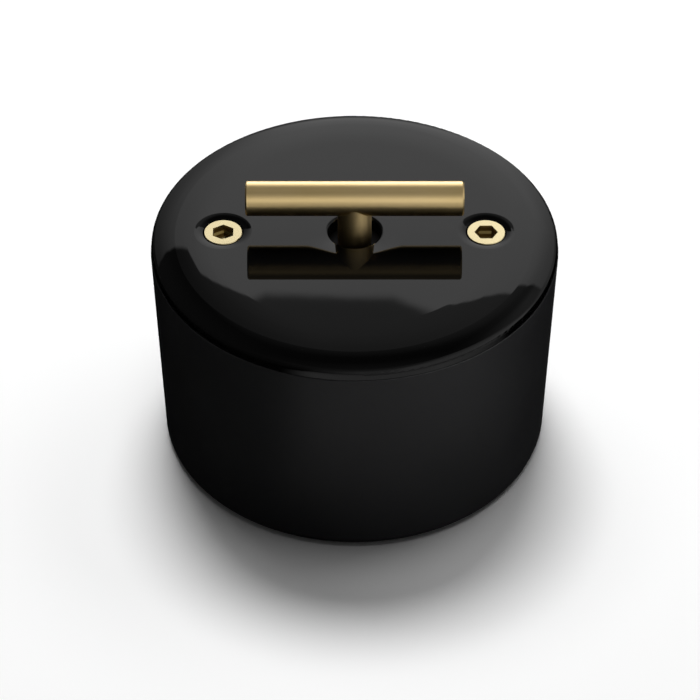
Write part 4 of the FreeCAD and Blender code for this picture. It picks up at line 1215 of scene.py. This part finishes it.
# %% The backdrop's top edge
# It is sharp in the middle and softer to the sides.
sideways = add(tree, "ShaderNodeMath", {"operation": "ABSOLUTE"}, {0: axes.outputs["X"]})
softness = add(
    tree,
    "ShaderNodeMapRange",
    {"From Max": 0.3, "To Min": 0.0022, "To Max": 0.012},
    {"Value": sideways.outputs[0]},
)
full = add(
    tree,
    "ShaderNodeMath",
    {"operation": "SUBTRACT"},
    {0: factor["skyline"], 1: softness.outputs[0]},
)
top_edge = add(
    tree,
    "ShaderNodeMapRange",
    {"interpolation_type": "SMOOTHSTEP"},
    {"Value": axes.outputs["Z"], "From Min": factor["skyline"], "From Max": full.outputs[0]},
)
factor["top_edge"] = top_edge.outputs[0]
print("factors for the panels:", len(factor))

# %% [markdown]
# Now the panels themselves. Each could be a lamp, but a lamp would also light the drum and the
# floor plainly. Drawn in the world and shown only to mirrored rays, a panel changes only what is
# mirrored: most in the glaze and the brass, and a little in the drum's satin sheen.

# %% Panels
# Each panel is a level times its steps and profiles, and the panels are added up.
panels = {
    "backdrop": (1.14, ("backdrop_across", "backdrop_up", "top_edge", "behind")),
    "ceiling": (0.34, ("ceiling_across", "below_ceiling", "behind")),
    "front": (1.0, ("front_up", "in_front", "not_far_left")),
    "right": (1.0, ("right_across", "beside")),
    "left": (0.05, ("far_left",)),
}
studio = None
for label, (level, names) in panels.items():
    panel = add(
        tree,
        "ShaderNodeMath",
        {"operation": "MULTIPLY", 1: level},
        {0: factor[names[0]]},
    )
    for name in names[1:]:
        panel = add(
            tree,
            "ShaderNodeMath",
            {"operation": "MULTIPLY"},
            {0: panel.outputs[0], 1: factor[name]},
        )
    if studio is None:
        studio = panel
    else:
        studio = add(
            tree,
            "ShaderNodeMath",
            {"operation": "ADD"},
            {0: studio.outputs[0], 1: panel.outputs[0]},
        )
print("panels in the studio:", sorted(panels))

# %% [markdown]
# Light Path tells what kind of ray asks for the world. Mirrored rays see the panels, weaker when
# they were mirrored before, matte surfaces see an even fill, and the camera sees white paper.

# %% Who sees what
path = add(tree, "ShaderNodeLightPath")
again = add(
    tree,
    "ShaderNodeMapRange",
    {"From Min": 1.0, "From Max": 2.0, "To Min": 1.0, "To Max": 0.35},
    {"Value": path.outputs["Glossy Depth"]},
)
mirrored = add(
    tree,
    "ShaderNodeBackground",
    feeds={"Color": studio.outputs[0], "Strength": again.outputs[0]},
)
fill = add(tree, "ShaderNodeBackground", {"Color": linear("#ffffff"), "Strength": 0.04})
white = add(tree, "ShaderNodeBackground", {"Color": linear("#ffffff"), "Strength": 1.0})
through = add(
    tree,
    "ShaderNodeMath",
    {"operation": "MAXIMUM"},
    {0: path.outputs["Is Camera Ray"], 1: path.outputs["Is Transmission Ray"]},
)
first = add(
    tree,
    "ShaderNodeMixShader",
    feeds={0: path.outputs["Is Glossy Ray"], 1: fill.outputs[0], 2: mirrored.outputs[0]},
)
second = add(
    tree,
    "ShaderNodeMixShader",
    feeds={0: through.outputs[0], 1: first.outputs[0], 2: white.outputs[0]},
)
add(tree, "ShaderNodeOutputWorld", feeds={"Surface": second.outputs[0]})
print("nodes in the studio:", len(tree.nodes))

# %% [markdown]
# ## Lamps
#
# The shadow falls towards the camera and a little to the left, is darkest under the drum and
# fades within 30 mm. One lamp would give it a hard core, so the light comes from a wide soft lamp
# high up behind the switch and from weaker ones behind it on the left, on the right and overhead.
# Their directions, sizes and shares are the rounded result of a separate program, which looked
# for four lamps whose shadow on the floor comes close to the photograph's.
#
# A lamp's power is worked out from the share of full light that it gives a level surface. The
# four shares and the fill add up to about 1, so a colour shows about as it is written.


# %% Lamps
def add_lamp(name, azimuth, elevation, distance, width, height, share):
    """A soft lamp that gives a level surface at the origin this share of full light."""
    a, e = math.radians(azimuth), math.radians(elevation)
    direction = Vector((math.sin(a) * math.cos(e), math.cos(a) * math.cos(e), math.sin(e)))
    data = bpy.data.lights.new(name, "AREA")
    data.shape = "ELLIPSE"
    data.size = width
    data.size_y = height
    data.energy = share * math.pi * distance**2 * math.pi / math.sin(e)
    lamp = bpy.data.objects.new(name, data)
    bpy.context.scene.collection.objects.link(lamp)
    lamp.location = direction * distance
    lamp.rotation_euler = (-direction).to_track_quat("-Z", "Y").to_euler()
    lamp.visible_glossy = False
    print(name, "at", tuple(round(v, 3) for v in lamp.location))
    return lamp


# For each its direction in degrees, from +Y towards +X and up, its distance, width and height in
# metres, and its share.
for lamp_values in (
    ("key", -3, 66.5, 1.2, 0.52, 0.42, 0.67),
    ("behind_left", -24, 58, 1.2, 0.6, 0.3, 0.13),
    ("right", 51, 52.5, 1.2, 0.75, 0.4, 0.11),
    ("overhead", 60, 87, 1.2, 0.4, 0.4, 0.13),
):
    add_lamp(*lamp_values)

# %% [markdown]
# ## Cards for the brass and the drum
#
# A photographer holds small white cards close to a shiny piece, to draw its form with bright
# bands. Here soft lamps stand for the cards. Light linking lets each of them light only the
# pieces named with it, so that the bands on the brass leave no light on the glaze beside it. The
# brass needs only what it mirrors, while the drum's satin skin also takes a little plain light.

# %% Cards for the brass and the drum
for *card_values, lit in (
    ("card_high", 180, 30, 1.0, 2.0, 0.5, 0.04, ("dolly_bar", "dolly_stem")),
    ("card_above", 0, 72, 1.0, 2.0, 0.7, 0.06, ("dolly_bar", "dolly_stem", "cover_screws")),
    ("card_behind", 0, 12, 1.0, 1.6, 0.35, 0.085, ("dolly_bar", "dolly_stem", "cover_screws")),
    ("card_low", 135, 4, 0.3, 0.34, 0.035, 0.05, ("dolly_stem",)),
    ("card_right", 50, 8, 0.3, 0.05, 0.08, 0.05, ("dolly_stem",)),
    ("card_drum", 150, 45, 0.12, 0.08, 0.05, 0.1, ("housing",)),
    ("card_drum_right", 122, 20, 0.2, 0.14, 0.12, 0.11, ("housing",)),
    ("card_drum_left", -112, 20, 0.2, 0.14, 0.12, 0.04, ("housing",)),
):
    card = add_lamp(*card_values)
    card.visible_glossy = True
    card.visible_diffuse = "housing" in lit
    pieces = bpy.data.collections.new("lit_by_" + card.name)
    for name in lit:
        pieces.objects.link(nodes[name])
    card.light_linking.receiver_collection = pieces

# %% [markdown]
# ## The colour view
#
# The Standard view shows each colour as it was written.

# %% Finish
bpy.context.scene.view_settings.view_transform = "Standard"
